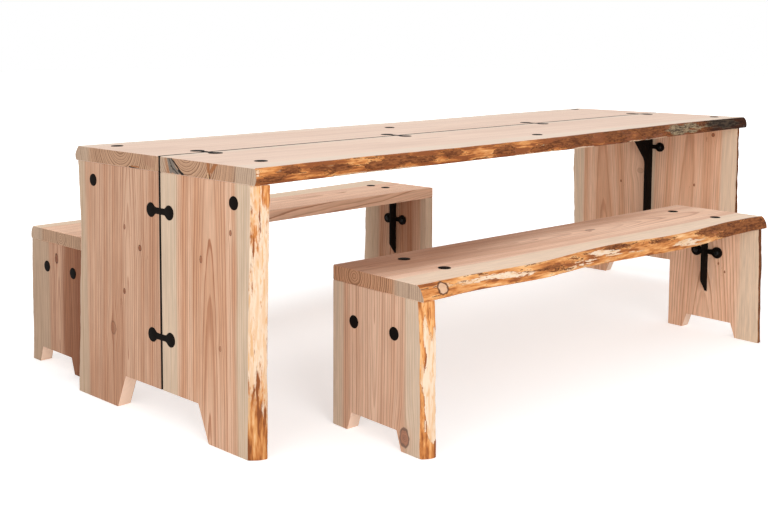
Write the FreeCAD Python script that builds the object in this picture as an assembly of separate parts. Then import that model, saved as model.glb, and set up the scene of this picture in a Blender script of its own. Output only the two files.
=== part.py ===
"""Live-edge picnic table with two loose benches, as separate planks and iron fittings.

Units are millimetres, +Z is up. The table's length runs along X and its sides face -Y and +Y.
The origin is on the floor at the middle of the set's footprint.
"""
import FreeCAD, Part
import math
import os

Vec = FreeCAD.Vector

# Table, overall
table_length = 2680.0
table_height = 750.0
table_plank_thickness = 44.0
seam_gap = 5.0

# Widths of the table's planks, from the seam to the live edge on the narrow face
front_top_width = 403.0
back_top_width = 414.0
left_front_leg_width = 371.0
left_back_leg_width = 434.0
right_front_leg_width = 382.0
right_back_leg_width = 386.0

# Foot arch of a table leg panel
table_arch_height = 100.0
table_arch_front_foot = 206.0
table_arch_back_foot = 223.0
table_arch_slope = 43.0

# Bench, overall
front_bench_length = 1690.0
rear_bench_length = 1660.0
bench_height = 450.0
bench_plank_thickness = 42.0
front_seat_width = 340.0
rear_seat_width = 286.0
front_bench_leg_width = 346.0
rear_bench_left_leg_width = 315.0
rear_bench_right_leg_width = 346.0

# Foot arch of a bench leg
bench_arch_height = 52.0
bench_arch_width = 218.0
bench_arch_slope = 18.0
arch_center = {"front_left": 169.0, "front_right": 169.0, "rear_left": 161.0, "rear_right": 172.0}

# Where the benches stand: their left end at the sawn edge, from the table's left end and its seam
front_bench_from_left = 338.0
front_bench_from_seam = 328.0
front_bench_turn = -4.5
rear_bench_from_left = 72.0
rear_bench_from_seam = 527.0
rear_bench_turn = -0.5

# Dumbbell plate, the same outline on the seams and at the brackets' ears
lobe_diameter = 41.0
lobe_spacing = 84.0
neck_width = 18.0
neck_length = 24.0
seam_plate_thickness = 6.0
plate_play = 0.4

# Rib brackets
rib_thickness = 10.0
table_rib_depth = 55.0
table_bracket_below_ear = 73.0
table_bracket_top_arm = 253.0
table_gusset = 110.0
bench_rib_leg_depth = 34.0
bench_rib_top_depth = 30.0
bench_rib_foot_cut = 44.0
bench_bracket_leg_arm = 257.0
bench_bracket_top_arm = 253.0
bench_gusset = 12.0
leg_ear_from_corner = 107.0
table_top_ear_from_corner = 115.0
bench_top_ear_from_corner = 107.0
ear_thickness = 6.0
rib_edge_round = 1.5
stud_sides = 12
stud_diameter = 12.0
stud_height = 2.5
stud_from_leg = 73.0
stud_from_top = 98.0
bracket_from_edge = {"front_left": 157.0, "front_right": 157.0, "rear_left": 148.0, "rear_right": 176.0}
lower_ear_from_floor = 249.0

# Hexagon bolts. Their shanks and holes are six-sided too, which keeps what repeats to few faces
bolt_across_flats = 13.0
bolt_head_height = 5.5
shank_across_flats = 7.0
shank_play = 0.1
bench_bolt_reach = 30.0

# Flush round caps, drawn with flat sides
cap_sides = 16
cap_diameter = 36.0
cap_thickness = 5.0
cap_play = 0.3

# Cap places on the table: distance from the near end or from the top, and distance from the seam.
# Top caps are (distance from the end, distance from the seam)
table_leg_cap_from_top = 95.0
table_leg_cap_front = 318.0
table_leg_cap_back = 332.0
top_caps_by_left_end = {"front": (118.0, 285.0), "back": (75.0, 320.0)}
top_caps_by_right_end = {"front": (92.0, 318.0), "back": (85.0, 382.0)}
middle_caps_from_left_end = {"front": (1311.0, 314.0), "back": (1167.0, 236.0)}

# Cap places on a bench
front_leg_cap_from_top = 143.0
rear_leg_cap_from_top = 122.0
bench_leg_cap_spacing = 160.0
front_leg_cap_center = 169.0
front_seat_cap_from_left = 200.0
front_seat_cap_from_right = 155.0
front_seat_cap_center_left = 153.0
front_seat_cap_center_right = 167.0
front_seat_cap_spacing_left = 160.0
front_seat_cap_spacing_right = 172.0
rear_leg_cap_center = 131.0
rear_seat_cap_from_end = 145.0
rear_seat_cap_center_left = 150.0
rear_seat_cap_center_right = 181.0
rear_seat_cap_spacing = 86.0

# Live edges: how far the edge stands off the plank's width, as (share of the length, narrow face,
# wide face). The bulge is how far the middle of the thickness stands out past both faces' mean.
front_top_edge = [(0.0, 0, 2), (0.17, -1, 3), (0.28, 13, 12), (0.43, 14, 22), (0.63, 0, 23), (0.84, -9, 9),
                  (1.0, 6, 15)]
back_top_edge = [(0.0, 0, 17), (0.2, -12, 6), (0.4, -5, 14), (0.55, -12, 6), (0.75, 6, 22), (1.0, 3, 20)]
left_front_leg_edge = [(0.0, 0, 24), (0.3, 2, 27), (0.6, 7, 30), (0.85, 12, 35), (1.0, 14, 38)]
left_back_leg_edge = [(0.0, 0, 12), (0.31, -13, 3), (0.57, -22, -8), (0.74, -29, -14), (0.86, -25, -9),
                      (1.0, -17, -2)]
right_front_leg_edge = [(0.0, 2, 18), (0.35, 6, 23), (0.65, 2, 20), (1.0, 0, 21)]
right_back_leg_edge = [(0.0, 0, 14), (0.35, 4, 16), (0.7, 12, 26), (1.0, 10, 24)]
front_seat_edge = [(0.0, -2, 21), (0.13, 2, 12), (0.24, 16, 32), (0.36, 2, 22), (0.5, -12, 26),
                   (0.62, 12, 46), (0.73, 14, 45), (0.88, -6, 22), (1.0, 7, 26)]
rear_seat_edge = [(0.0, 15, 26), (0.3, 22, 42), (0.6, 42, 61), (0.8, 57, 74), (1.0, 72, 90)]
front_bench_leg_edge = [(0.0, 3, 22), (0.45, 2, 21), (0.75, 0, 16), (1.0, -4, 13)]
rear_bench_leg_edge = [(0.0, 2, 20), (0.5, -3, 16), (1.0, -6, 12)]
live_edge_bulge = 5.0

# Each plank is drawn this much too large on its sawn sides, and then sawn to size
saw_allowance = 2.0

solids = {}


def add(name, shape):
    """Keep a node's shape under its name."""
    solids[name] = shape


def edge_curve(points):
    """A smooth edge through the given points."""
    curve = Part.BSplineCurve()
    curve.interpolate(points)
    return curve.toShape()


def closed_wire(corners, live_points):
    """Straight edges through the corners, closed by one live edge from the last to the first."""
    edges = [Part.makeLine(a, b) for a, b in zip(corners, corners[1:])]
    edges.append(edge_curve([corners[-1]] + live_points + [corners[0]]))
    return Part.Wire(edges)


def live_offsets(edge, layer):
    """The live edge's stations for one layer: the narrow face, the middle or the wide face."""
    if layer == "narrow":
        return [(s, n) for s, n, w in edge]
    if layer == "wide":
        return [(s, w) for s, n, w in edge]
    return [(s, (n + w) / 2.0 + live_edge_bulge) for s, n, w in edge]


def sawn(blank, x_low, x_high, y_sawn, side, z_low, z_high):
    """What is left of a plank's blank between two X planes, two Z planes and its sawn edge."""
    reach = blank.BoundBox.YLength
    y_low = y_sawn if side > 0 else y_sawn - reach
    return blank.common(Part.makeBox(x_high - x_low, reach, z_high - z_low, Vec(x_low, y_low, z_low)))


def flat_plank(x_left, length, y_sawn, width, side, z_low, thickness, edge):
    """A lying plank: sawn edge at y_sawn, live edge at that plus width towards side (+1 or -1)."""
    heights = {"wide": z_low, "middle": z_low + thickness / 2.0, "narrow": z_low + thickness}
    start, span = x_left - saw_allowance, length + 2.0 * saw_allowance
    y_blank = y_sawn - side * saw_allowance
    wires = []
    for layer, z in heights.items():
        live = [Vec(start + s * span, y_sawn + side * (width + o), z) for s, o in live_offsets(edge, layer)]
        corners = [live[0], Vec(start, y_blank, z), Vec(start + span, y_blank, z), live[-1]]
        wires.append(closed_wire(corners, live[-2:0:-1]))
    blank = Part.makeLoft(wires, True, True)
    return sawn(blank, x_left, x_left + length, y_sawn, side, z_low, z_low + thickness)


def standing_plank(x_outer, x_inner, y_sawn, width, side, height, foot_steps, edge):
    """A leg plank between two X faces: the outer face is the narrow one.

    foot_steps are the corners of the foot's underside as (distance from the sawn edge, height),
    from the live edge inwards; the last one lies on the sawn edge.
    """
    places = {"narrow": x_outer, "middle": (x_outer + x_inner) / 2.0, "wide": x_inner}
    span = height + 2.0 * saw_allowance
    wires = []
    for layer, x in places.items():
        live = [Vec(x, y_sawn + side * (width + o), s * span - saw_allowance)
                for s, o in live_offsets(edge, layer)]
        foot = [Vec(x, y_sawn + side * (d or -saw_allowance), z or -saw_allowance) for d, z in foot_steps]
        top = Vec(x, y_sawn - side * saw_allowance, height + saw_allowance)
        wires.append(closed_wire([live[0]] + foot + [top, live[-1]], live[-2:0:-1]))
    blank = Part.makeLoft(wires, True, True)
    return sawn(blank, min(x_outer, x_inner), max(x_outer, x_inner), y_sawn, side, 0.0, height)


def dumbbell(z_low, thickness, play=0.0):
    """A dumbbell plate lying in XY, long along Y: a short neck that widens in tangents to two lobes."""
    radius = lobe_diameter / 2.0 + play
    neck = neck_width / 2.0 + play
    center = lobe_spacing / 2.0
    # A tangent from the neck's end touches the lobe at this angle from the lobe's centre
    back = center - neck_length / 2.0
    touch_angle = math.acos(radius / math.hypot(back, neck)) - math.atan2(back, neck)
    touch = (radius * math.cos(touch_angle), center + radius * math.sin(touch_angle))
    edges = []
    for sy in (1, -1):
        touches = [Vec(sx * touch[0], sy * touch[1], z_low) for sx in (1, -1)]
        edges.append(Part.Arc(touches[0], Vec(0, sy * (center + radius), z_low), touches[1]).toShape())
        for sx, end in zip((1, -1), touches):
            edges.append(Part.makeLine(Vec(sx * neck, sy * neck_length / 2.0, z_low), end))
    for sx in (1, -1):
        half = neck_length / 2.0
        edges.append(Part.makeLine(Vec(sx * neck, -half, z_low), Vec(sx * neck, half, z_low)))
    outline = Part.Wire(Part.__sortEdges__(edges))
    return Part.Face(outline).extrude(Vec(0, 0, thickness))


def faced(shape, place, normal):
    """Turn a shape from +Z to face along the normal, keeping Y, and move it to its place."""
    angles = {"+z": 0.0, "+x": 90.0, "-z": 180.0, "-x": -90.0}
    turned = shape.copy()
    turned.rotate(Vec(0, 0, 0), Vec(0, 1, 0), angles[normal])
    turned.translate(place)
    return turned


def seam_plate():
    """Dumbbell plate let in flush, with its outer face at Z = 0."""
    return dumbbell(-seam_plate_thickness, seam_plate_thickness)


def seam_pocket():
    """What a seam plate takes out of the planks."""
    return dumbbell(-seam_plate_thickness, seam_plate_thickness * 2.0, plate_play)


def prism(sides, radius, z_low, height):
    """A many-sided bar along Z with a corner towards X; the radius is that of its corners."""
    angles = [2.0 * math.pi * i / sides for i in range(sides)]
    points = [Vec(radius * math.cos(a), radius * math.sin(a), z_low) for a in angles]
    return Part.Face(Part.makePolygon(points + points[:1])).extrude(Vec(0, 0, height))


def hexagon(across_flats, z_low, height):
    """A six-sided bar along Z."""
    return prism(6, across_flats / math.sqrt(3.0), z_low, height)


def bolt(reach):
    """Hexagon bolt through an ear that lies on the wood's face at Z = 0, reaching that far into it."""
    head = hexagon(bolt_across_flats, ear_thickness, bolt_head_height)
    return head.fuse(hexagon(shank_across_flats, -reach, reach + ear_thickness))


def bolt_hole(reach):
    """The clearance hole for a bolt's shank, through the ear and into the wood."""
    return hexagon(shank_across_flats + 2.0 * shank_play, -reach, reach + ear_thickness * 2.0)


def eared_plate():
    """Dumbbell plate that lies on the wood, its lower face at Z = 0, with a bolt hole in each lobe."""
    shape = dumbbell(0.0, ear_thickness)
    for hole in at_lobes(bolt_hole(ear_thickness)):
        shape = shape.cut(hole)
    return shape


def flush_cap():
    """Round cap let in flush, with its face at Z = 0."""
    return prism(cap_sides, cap_diameter / 2.0, -cap_thickness, cap_thickness)


def cap_pocket():
    """What a flush cap takes out of the wood."""
    return prism(cap_sides, cap_diameter / 2.0 + cap_play, -cap_thickness, cap_thickness * 2.0)


def at_lobes(shape):
    """A pair of copies of a shape, one at each lobe centre."""
    pair = []
    for sy in (-1, 1):
        copy = shape.copy()
        copy.translate(Vec(0, sy * lobe_spacing / 2.0, 0))
        pair.append(copy)
    return pair


def corner_places(corner, away, leg_ears, top_ears):
    """The ears' places on the leg and on the underside, as (place, facing).

    corner is where the leg's inner face meets the underside, and away is +1 or -1 along X.
    """
    leg_normal = "+x" if away > 0 else "-x"
    places = [(corner - Vec(0, 0, d), leg_normal) for d in leg_ears]
    places += [(corner + Vec(away * d, 0, 0), "-z") for d in top_ears]
    return places


def rib_bracket(corner, away, arms, depths, foot_cut, gusset, places):
    """Corner bracket: an L-shaped rib plate on edge, with dumbbell ears where it is bolted.

    arms and depths are those of the arm on the leg and of the arm under the top. The foot is cut
    off at a slant over the height foot_cut, and the gusset fills the inner corner at 45 degrees.
    """
    (leg_arm, top_arm), (d, t) = arms, depths
    outline = [(0, 0), (0, -leg_arm), (d, -leg_arm + foot_cut), (d, -t - gusset), (d + gusset, -t),
               (top_arm - t, -t), (top_arm, 0), (0, 0)]
    half = rib_thickness / 2.0
    points = [corner + Vec(away * u, -half, z) for u, z in outline]
    rib = Part.Face(Part.makePolygon(points)).extrude(Vec(0, rib_thickness, 0))
    nose = []
    for edge in rib.Edges:
        mid = edge.CenterOfMass - corner
        on_side = abs(abs(mid.y) - half) < 0.01
        on_wood = abs(mid.x) < 0.01 or abs(mid.z) < 0.01
        if on_side and not on_wood:
            nose.append(edge)
    rib = rib.makeChamfer(rib_edge_round, nose)
    for place, normal in places:
        rib = rib.fuse(faced(eared_plate(), place, normal))
    return rib.removeSplitter()


def gusset_stud(corner, away):
    """A stud head on the front face of a table bracket's gusset."""
    stud = prism(stud_sides, stud_diameter / 2.0, 0.0, stud_height)
    stud.rotate(Vec(0, 0, 0), Vec(1, 0, 0), 90)
    stud.translate(corner + Vec(away * stud_from_leg, -rib_thickness / 2.0, -stud_from_top))
    return stud


def cut_all(shape, tools):
    """Cut each tool that reaches the shape out of it."""
    for tool in tools:
        if shape.BoundBox.intersect(tool.BoundBox):
            shape = shape.cut(tool)
    return shape


def build_table():
    """The table: two top planks on two leg panels of two planks, held by brackets and seam plates."""
    left, right = -table_length / 2.0, table_length / 2.0
    underside = table_height - table_plank_thickness
    half_gap = seam_gap / 2.0
    corners = {"left": (Vec(left + table_plank_thickness, 0, underside), 1),
               "right": (Vec(right - table_plank_thickness, 0, underside), -1)}

    plank_specs = {"front": (front_top_width, -1, front_top_edge),
                   "back": (back_top_width, 1, back_top_edge)}
    planks = {}
    for place, (width, side, edge) in plank_specs.items():
        planks[place + "_top_plank"] = flat_plank(left, table_length, side * half_gap, width - half_gap, side,
                                                  underside, table_plank_thickness, edge)
    leg_specs = {
        "left_front": (left, 1, left_front_leg_width, -1, left_front_leg_edge, table_arch_front_foot),
        "left_back": (left, 1, left_back_leg_width, 1, left_back_leg_edge, table_arch_back_foot),
        "right_front": (right, -1, right_front_leg_width, -1, right_front_leg_edge, table_arch_front_foot),
        "right_back": (right, -1, right_back_leg_width, 1, right_back_leg_edge, table_arch_back_foot)}
    for place, (x, inward, width, side, edge, foot) in leg_specs.items():
        steps = [(foot - half_gap, 0.0), (foot - half_gap - table_arch_slope, table_arch_height),
                 (0.0, table_arch_height)]
        planks[place + "_leg_plank"] = standing_plank(x, x + inward * table_plank_thickness, side * half_gap,
                                                      width - half_gap, side, underside, steps, edge)

    lower_ear = underside - lower_ear_from_floor
    bolt_reach = table_plank_thickness - seam_plate_thickness
    corner_bolts, seam_plates, holes = {}, {}, []
    for end, (corner, away) in corners.items():
        leg_ears = (leg_ear_from_corner, lower_ear)
        places = corner_places(corner, away, leg_ears, (table_top_ear_from_corner,))
        arms = (lower_ear + table_bracket_below_ear, table_bracket_top_arm)
        bracket = rib_bracket(corner, away, arms, (table_rib_depth, table_rib_depth), table_rib_depth,
                              table_gusset, places)
        add(end + "_table_bracket", bracket.fuse(gusset_stud(corner, away)))
        corner_bolts[end] = []
        for place, normal in places:
            corner_bolts[end] += [faced(b, place, normal) for b in at_lobes(bolt(bolt_reach))]
            holes += [faced(h, place, normal) for h in at_lobes(bolt_hole(bolt_reach))]
        leg_face = left if end == "left" else right
        outward = "-x" if end == "left" else "+x"
        for name, drop in (("upper", leg_ear_from_corner), ("lower", lower_ear)):
            place = Vec(leg_face, 0, underside - drop)
            seam_plates[end + "_leg_" + name + "_seam_plate"] = (place, outward)
        place = Vec(corner.x + away * table_top_ear_from_corner, 0, table_height)
        seam_plates[end + "_end_top_seam_plate"] = (place, "+z")

    end_plate_x = right - table_plank_thickness - table_top_ear_from_corner
    middle_bolts = []
    for name, sx in (("left", -1), ("right", 1)):
        x = sx * end_plate_x / 3.0
        seam_plates[name + "_middle_top_seam_plate"] = (Vec(x, 0, table_height), "+z")
        below = Vec(x, 0, underside)
        add(name + "_under_seam_plate", faced(eared_plate(), below, "-z"))
        middle_bolts += [faced(b, below, "-z") for b in at_lobes(bolt(bolt_reach))]
        holes += [faced(h, below, "-z") for h in at_lobes(bolt_hole(bolt_reach))]

    for name, (place, normal) in seam_plates.items():
        add(name, faced(seam_plate(), place, normal))
        holes.append(faced(seam_pocket(), place, normal))

    caps = {"leg": [], "top": []}
    leg_cap_z = table_height - table_leg_cap_from_top
    for x, normal in ((left, "-x"), (right, "+x")):
        for y in (-table_leg_cap_front, table_leg_cap_back):
            caps["leg"].append((Vec(x, y, leg_cap_z), normal))
    for end_x, inward, group in ((left, 1, top_caps_by_left_end), (right, -1, top_caps_by_right_end),
                                 (left, 1, middle_caps_from_left_end)):
        for row, side in (("front", -1), ("back", 1)):
            from_end, from_seam = group[row]
            place = Vec(end_x + inward * from_end, side * from_seam, table_height)
            caps["top"].append((place, "+z"))
    for group, places in caps.items():
        add("table_" + group + "_caps", Part.makeCompound([faced(flush_cap(), p, n) for p, n in places]))
        holes += [faced(cap_pocket(), p, n) for p, n in places]

    for end, bolts in corner_bolts.items():
        add(end + "_table_bracket_bolts", Part.makeCompound(bolts))
    add("middle_seam_bolts", Part.makeCompound(middle_bolts))
    for name, plank in planks.items():
        add(name, cut_all(plank, holes))


def build_bench(row, side, length, seat_width, seat_edge, leg_widths, leg_edge, leg_cap, seat_caps, place,
                turn):
    """A bench: a seat plank on two leg planks, each leg held by one rib bracket.

    leg_cap is (distance from the top, centre from the sawn edge), and seat_caps are
    (X, centre from the sawn edge, spacing).
    """
    underside = bench_height - bench_plank_thickness
    parts = {row + "_bench_seat": flat_plank(0.0, length, 0.0, seat_width, side, underside,
                                             bench_plank_thickness, seat_edge)}
    ends = {"left": (0.0, 1, "-x"), "right": (length, -1, "+x")}
    arms = (bench_bracket_leg_arm, bench_bracket_top_arm)
    depths = (bench_rib_leg_depth, bench_rib_top_depth)
    bolts, holes, leg_caps = [], [], []
    for end, (x, inward, outward) in ends.items():
        x_inner = x + inward * bench_plank_thickness
        half = bench_arch_width / 2.0
        center = arch_center[row + "_" + end]
        steps = [(center + half, 0.0), (center + half - bench_arch_slope, bench_arch_height),
                 (center - half + bench_arch_slope, bench_arch_height), (center - half, 0.0), (0.0, 0.0)]
        leg = standing_plank(x, x_inner, 0.0, leg_widths[end], side, underside, steps, leg_edge)
        parts[row + "_bench_" + end + "_leg"] = leg
        corner = Vec(x_inner, side * bracket_from_edge[row + "_" + end], underside)
        places = corner_places(corner, inward, (leg_ear_from_corner,), (bench_top_ear_from_corner,))
        bracket = rib_bracket(corner, inward, arms, depths, bench_rib_foot_cut, bench_gusset, places)
        parts[row + "_bench_" + end + "_bracket"] = bracket
        for at, normal in places:
            bolts += [faced(b, at, normal) for b in at_lobes(bolt(bench_bolt_reach))]
            holes += [faced(h, at, normal) for h in at_lobes(bolt_hole(bench_bolt_reach))]
        for sy in (-1, 1):
            y = side * (leg_cap[1] + sy * bench_leg_cap_spacing / 2.0)
            leg_caps.append((Vec(x, y, bench_height - leg_cap[0]), outward))
    top_caps = [(Vec(x, side * (center + sy * spacing / 2.0), bench_height), "+z")
                for x, center, spacing in seat_caps for sy in (-1, 1)]
    for group, places in (("leg", leg_caps), ("seat", top_caps)):
        caps = [faced(flush_cap(), p, n) for p, n in places]
        parts[row + "_bench_" + group + "_caps"] = Part.makeCompound(caps)
        holes += [faced(cap_pocket(), p, n) for p, n in places]
    for name in (row + "_bench_seat", row + "_bench_left_leg", row + "_bench_right_leg"):
        parts[name] = cut_all(parts[name], holes)
    parts[row + "_bench_bolts"] = Part.makeCompound(bolts)
    for name, shape in parts.items():
        shape.rotate(Vec(0, 0, 0), Vec(0, 0, 1), turn)
        shape.translate(place)
        add(name, shape)


def centre_footprint():
    """Move the set along Y so that its footprint is centred on the origin."""
    boxes = [shape.optimalBoundingBox(False) for shape in solids.values()]
    middle = (min(b.YMin for b in boxes) + max(b.YMax for b in boxes)) / 2.0
    for shape in solids.values():
        shape.translate(Vec(0, -middle, 0))
    return -middle


build_table()
table_left = -table_length / 2.0
build_bench("front", -1, front_bench_length, front_seat_width, front_seat_edge,
            {"left": front_bench_leg_width, "right": front_bench_leg_width}, front_bench_leg_edge,
            (front_leg_cap_from_top, front_leg_cap_center),
            [(front_seat_cap_from_left, front_seat_cap_center_left, front_seat_cap_spacing_left),
             (front_bench_length - front_seat_cap_from_right, front_seat_cap_center_right,
              front_seat_cap_spacing_right)],
            Vec(table_left + front_bench_from_left, -front_bench_from_seam, 0), front_bench_turn)
build_bench("rear", 1, rear_bench_length, rear_seat_width, rear_seat_edge,
            {"left": rear_bench_left_leg_width, "right": rear_bench_right_leg_width}, rear_bench_leg_edge,
            (rear_leg_cap_from_top, rear_leg_cap_center),
            [(rear_seat_cap_from_end, rear_seat_cap_center_left, rear_seat_cap_spacing),
             (rear_bench_length - rear_seat_cap_from_end, rear_seat_cap_center_right,
              rear_seat_cap_spacing)],
            Vec(table_left + rear_bench_from_left, rear_bench_from_seam, 0), rear_bench_turn)
seam_y = centre_footprint()
print("the seam of the table lies at y = %.3f" % seam_y)

os.makedirs("parts", exist_ok=True)
for name, shape in solids.items():
    shape.exportStep("parts/%s.step" % name)
    box = shape.optimalBoundingBox(False)
    print("%-32s %2d solid(s), x %.0f to %.0f, y %.0f to %.0f, z %.0f to %.0f"
          % (name, len(shape.Solids), box.XMin, box.XMax, box.YMin, box.YMax, box.ZMin, box.ZMax))
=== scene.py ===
"""Live-edge picnic table with two loose benches: planks with bark edges, iron fittings, studio.

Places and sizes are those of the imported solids. The planks are drawn again as dense surfaces with
live edges, the iron pieces with eased rims, and everything is dressed with procedural materials.
"""
from __future__ import annotations

import logging
import math
from dataclasses import dataclass, field
from enum import Enum
from itertools import product

import bpy
import numpy as np
from mathutils import Matrix, Vector
from mathutils.geometry import tessellate_polygon

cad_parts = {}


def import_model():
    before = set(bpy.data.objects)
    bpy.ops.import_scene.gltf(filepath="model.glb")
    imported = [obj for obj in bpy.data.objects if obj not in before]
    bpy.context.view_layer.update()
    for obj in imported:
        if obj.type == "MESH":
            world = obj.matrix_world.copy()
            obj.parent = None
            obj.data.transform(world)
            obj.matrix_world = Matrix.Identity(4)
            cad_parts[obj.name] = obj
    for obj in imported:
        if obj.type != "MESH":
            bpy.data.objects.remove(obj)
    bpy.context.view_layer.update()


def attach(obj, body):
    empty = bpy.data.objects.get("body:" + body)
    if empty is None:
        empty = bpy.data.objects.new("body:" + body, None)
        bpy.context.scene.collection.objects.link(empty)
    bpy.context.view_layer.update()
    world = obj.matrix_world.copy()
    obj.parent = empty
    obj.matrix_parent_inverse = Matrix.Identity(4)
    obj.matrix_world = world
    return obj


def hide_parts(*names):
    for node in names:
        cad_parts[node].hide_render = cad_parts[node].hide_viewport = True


log = logging.getLogger("picnic_set")

Triple = tuple[float, float, float]
Edge = tuple[Triple, ...]
Profile = tuple[tuple[float, float], ...]
Colour = tuple[float, float, float, float]
Values = dict[str | int, object]

MM = 0.001

# Places that the solids use, in millimetres
TABLE_LENGTH = 2680.0
TABLE_HEIGHT = 750.0
TABLE_THICK = 44.0
TABLE_UNDER = TABLE_HEIGHT - TABLE_THICK
TABLE_LEFT = -TABLE_LENGTH / 2.0
TABLE_RIGHT = TABLE_LENGTH / 2.0
SEAM_Y = -31.462
SEAM_GAP = 5.0
BENCH_HEIGHT = 450.0
BENCH_THICK = 42.0
BENCH_UNDER = BENCH_HEIGHT - BENCH_THICK
EAR_FROM_CORNER = 107.0
TOP_EAR_FROM_CORNER = 115.0
LOWER_EAR = 457.0
LOBE_FROM_MIDDLE = 42.0

# Sizes that only the dressed planks have, in millimetres
END_EASE = 1.2
RIM_MARGIN = 9.0
ACROSS_STEP = 20.0
BARK_THICK = 1.6
PEELED_DEPTH = 1.2
LIVE_ZONE = 25.0
FOOT_MARGIN = 10.0
STAIN_RIM = 0.8

# Gaps between stations across a plank: the least one, the least beside a pinned station, and how near
# a pinned station takes the place of a free one
STATION_GAP = 3.0
PINNED_GAP = 0.3
PINNED_PULL = 1.5

# Roughness of the live edge, three sizes of noise: height, length along and length round the edge
ROUGHNESS = ((2.6, 95.0, 60.0), (1.3, 31.0, 22.0), (0.7, 11.0, 9.0))

# Cover of the live edge: its patches' length along and round the edge, and the shares of two noises
COVER_SIZE = (110.0, 30.0)
COVER_SHARES = (0.38, 0.16)

# Stations across a knot, in its radii, and how far one knot's field reaches
KNOT_STEPS = (-4, -2.5, -1.6, -1, -0.5, 0, 0.5, 1, 1.6, 2.5, 4)
KNOT_REACH = 6.0

# The rings' bend round a knot: how much of the distance to it is taken away, and how much longer than
# the knot the bend is
KNOT_BEND = 0.8
KNOT_BEND_STRETCH = 1.6

# Metres between the noise fields of one log and the next
LOG_SHIFT = 3.7


class Skin(Enum):
    """What can lie on a live edge, by the name of its mesh attribute and of its share in a Log."""

    PEELED = "peel"
    BROWN = "brown"
    GREY = "grey"


class Surface(Enum):
    """The three kinds of plank surface, in the order of the material slots."""

    FACE = 0
    LIVE = 1
    END = 2


# Numbers and meshes


def lattice_noise(points: np.ndarray, seed: int) -> np.ndarray:
    """A smooth random field: hashed values at whole-number points, joined by smoothsteps.

    Args:
        points: places in lattice units, shape (..., 3).
        seed: which field.

    Returns:
        Values from -1 to 1, shape (...).
    """
    base = np.floor(points).astype(np.int64)
    part = points - base
    ease = part * part * (3.0 - 2.0 * part)
    total = np.zeros(points.shape[:-1])
    for corner in product((0, 1), repeat=3):
        cell = base + np.array(corner)
        mixed = cell[..., 0] * 73856093 ^ cell[..., 1] * 19349663 ^ cell[..., 2] * 83492791
        mixed = (mixed ^ seed * 40503) & 0xFFFFFFFF
        mixed = ((mixed ^ (mixed >> 15)) * 2246822519) & 0xFFFFFFFF
        mixed = ((mixed ^ (mixed >> 13)) * 3266489917) & 0xFFFFFFFF
        value = ((mixed ^ (mixed >> 16)) & 0xFFFF) / 32767.5 - 1.0
        weight = np.prod(np.where(np.array(corner) == 1, ease, 1.0 - ease), axis=-1)
        total += value * weight
    return total


def smoothstep(low: float, high: float, value: np.ndarray) -> np.ndarray:
    """0 below low, 1 above high, with a smooth rise between."""
    share = np.clip((value - low) / (high - low), 0.0, 1.0)
    return share * share * (3.0 - 2.0 * share)


def spline(stations: np.ndarray, values: np.ndarray, at: np.ndarray) -> np.ndarray:
    """A natural cubic spline: second slopes from the three-term system, then the cubic per span.

    Args:
        stations: where the values stand, rising.
        values: the value at each station.
        at: where to read the curve.

    Returns:
        The curve's values, shaped like at.
    """
    count = len(stations)
    step = np.diff(stations)
    system = np.eye(count)
    right = np.zeros(count)
    for i in range(1, count - 1):
        system[i, i - 1:i + 2] = step[i - 1], 2.0 * (step[i - 1] + step[i]), step[i]
        right[i] = 6.0 * ((values[i + 1] - values[i]) / step[i] - (values[i] - values[i - 1]) / step[i - 1])
    bend = np.linalg.solve(system, right)
    span = np.clip(np.searchsorted(stations, at) - 1, 0, count - 2)
    h, left, far = step[span], at - stations[span], stations[span + 1] - at
    return ((bend[span] * far ** 3 + bend[span + 1] * left ** 3) / (6.0 * h)
            + (values[span] / h - bend[span] * h / 6.0) * far
            + (values[span + 1] / h - bend[span + 1] * h / 6.0) * left)


@dataclass(frozen=True)
class Place:
    """A local frame: origin in millimetres and three unit axes in the row frame."""

    origin: Triple
    axes: tuple[Triple, ...]

    def put(self, local: np.ndarray) -> np.ndarray:
        """Local millimetres, shape (..., 3), to metres in the row frame."""
        return (np.array(self.origin) + local @ np.array(self.axes)) * MM


@dataclass(frozen=True)
class Stand:
    """Where a bench stands: its left end at the sawn edge, its turn in degrees, its length and side."""

    row: str
    side: int
    x: float
    y: float
    turn: float
    length: float

    def place(self, along: float, across: float, height: float, axes: tuple[Triple, ...]) -> Place:
        """A local frame on the turned bench.

        Args:
            along: distance from the bench's left end.
            across: distance from the sawn edge towards the live edge.
            height: above the floor.
            axes: the local axes before the turn.

        Returns:
            The frame after the turn.
        """
        c, s = math.cos(math.radians(self.turn)), math.sin(math.radians(self.turn))
        spun = tuple((ax * c - ay * s, ax * s + ay * c, az) for ax, ay, az in axes)
        dy = self.side * across
        return Place((self.x + along * c - dy * s, self.y + along * s + dy * c, height), spun)


FRONT_STAND = Stand("front", -1, -1002.0, -328.0 + SEAM_Y, -4.5, 1690.0)
REAR_STAND = Stand("rear", 1, -1268.0, 527.0 + SEAM_Y, -0.5, 1660.0)


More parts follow.
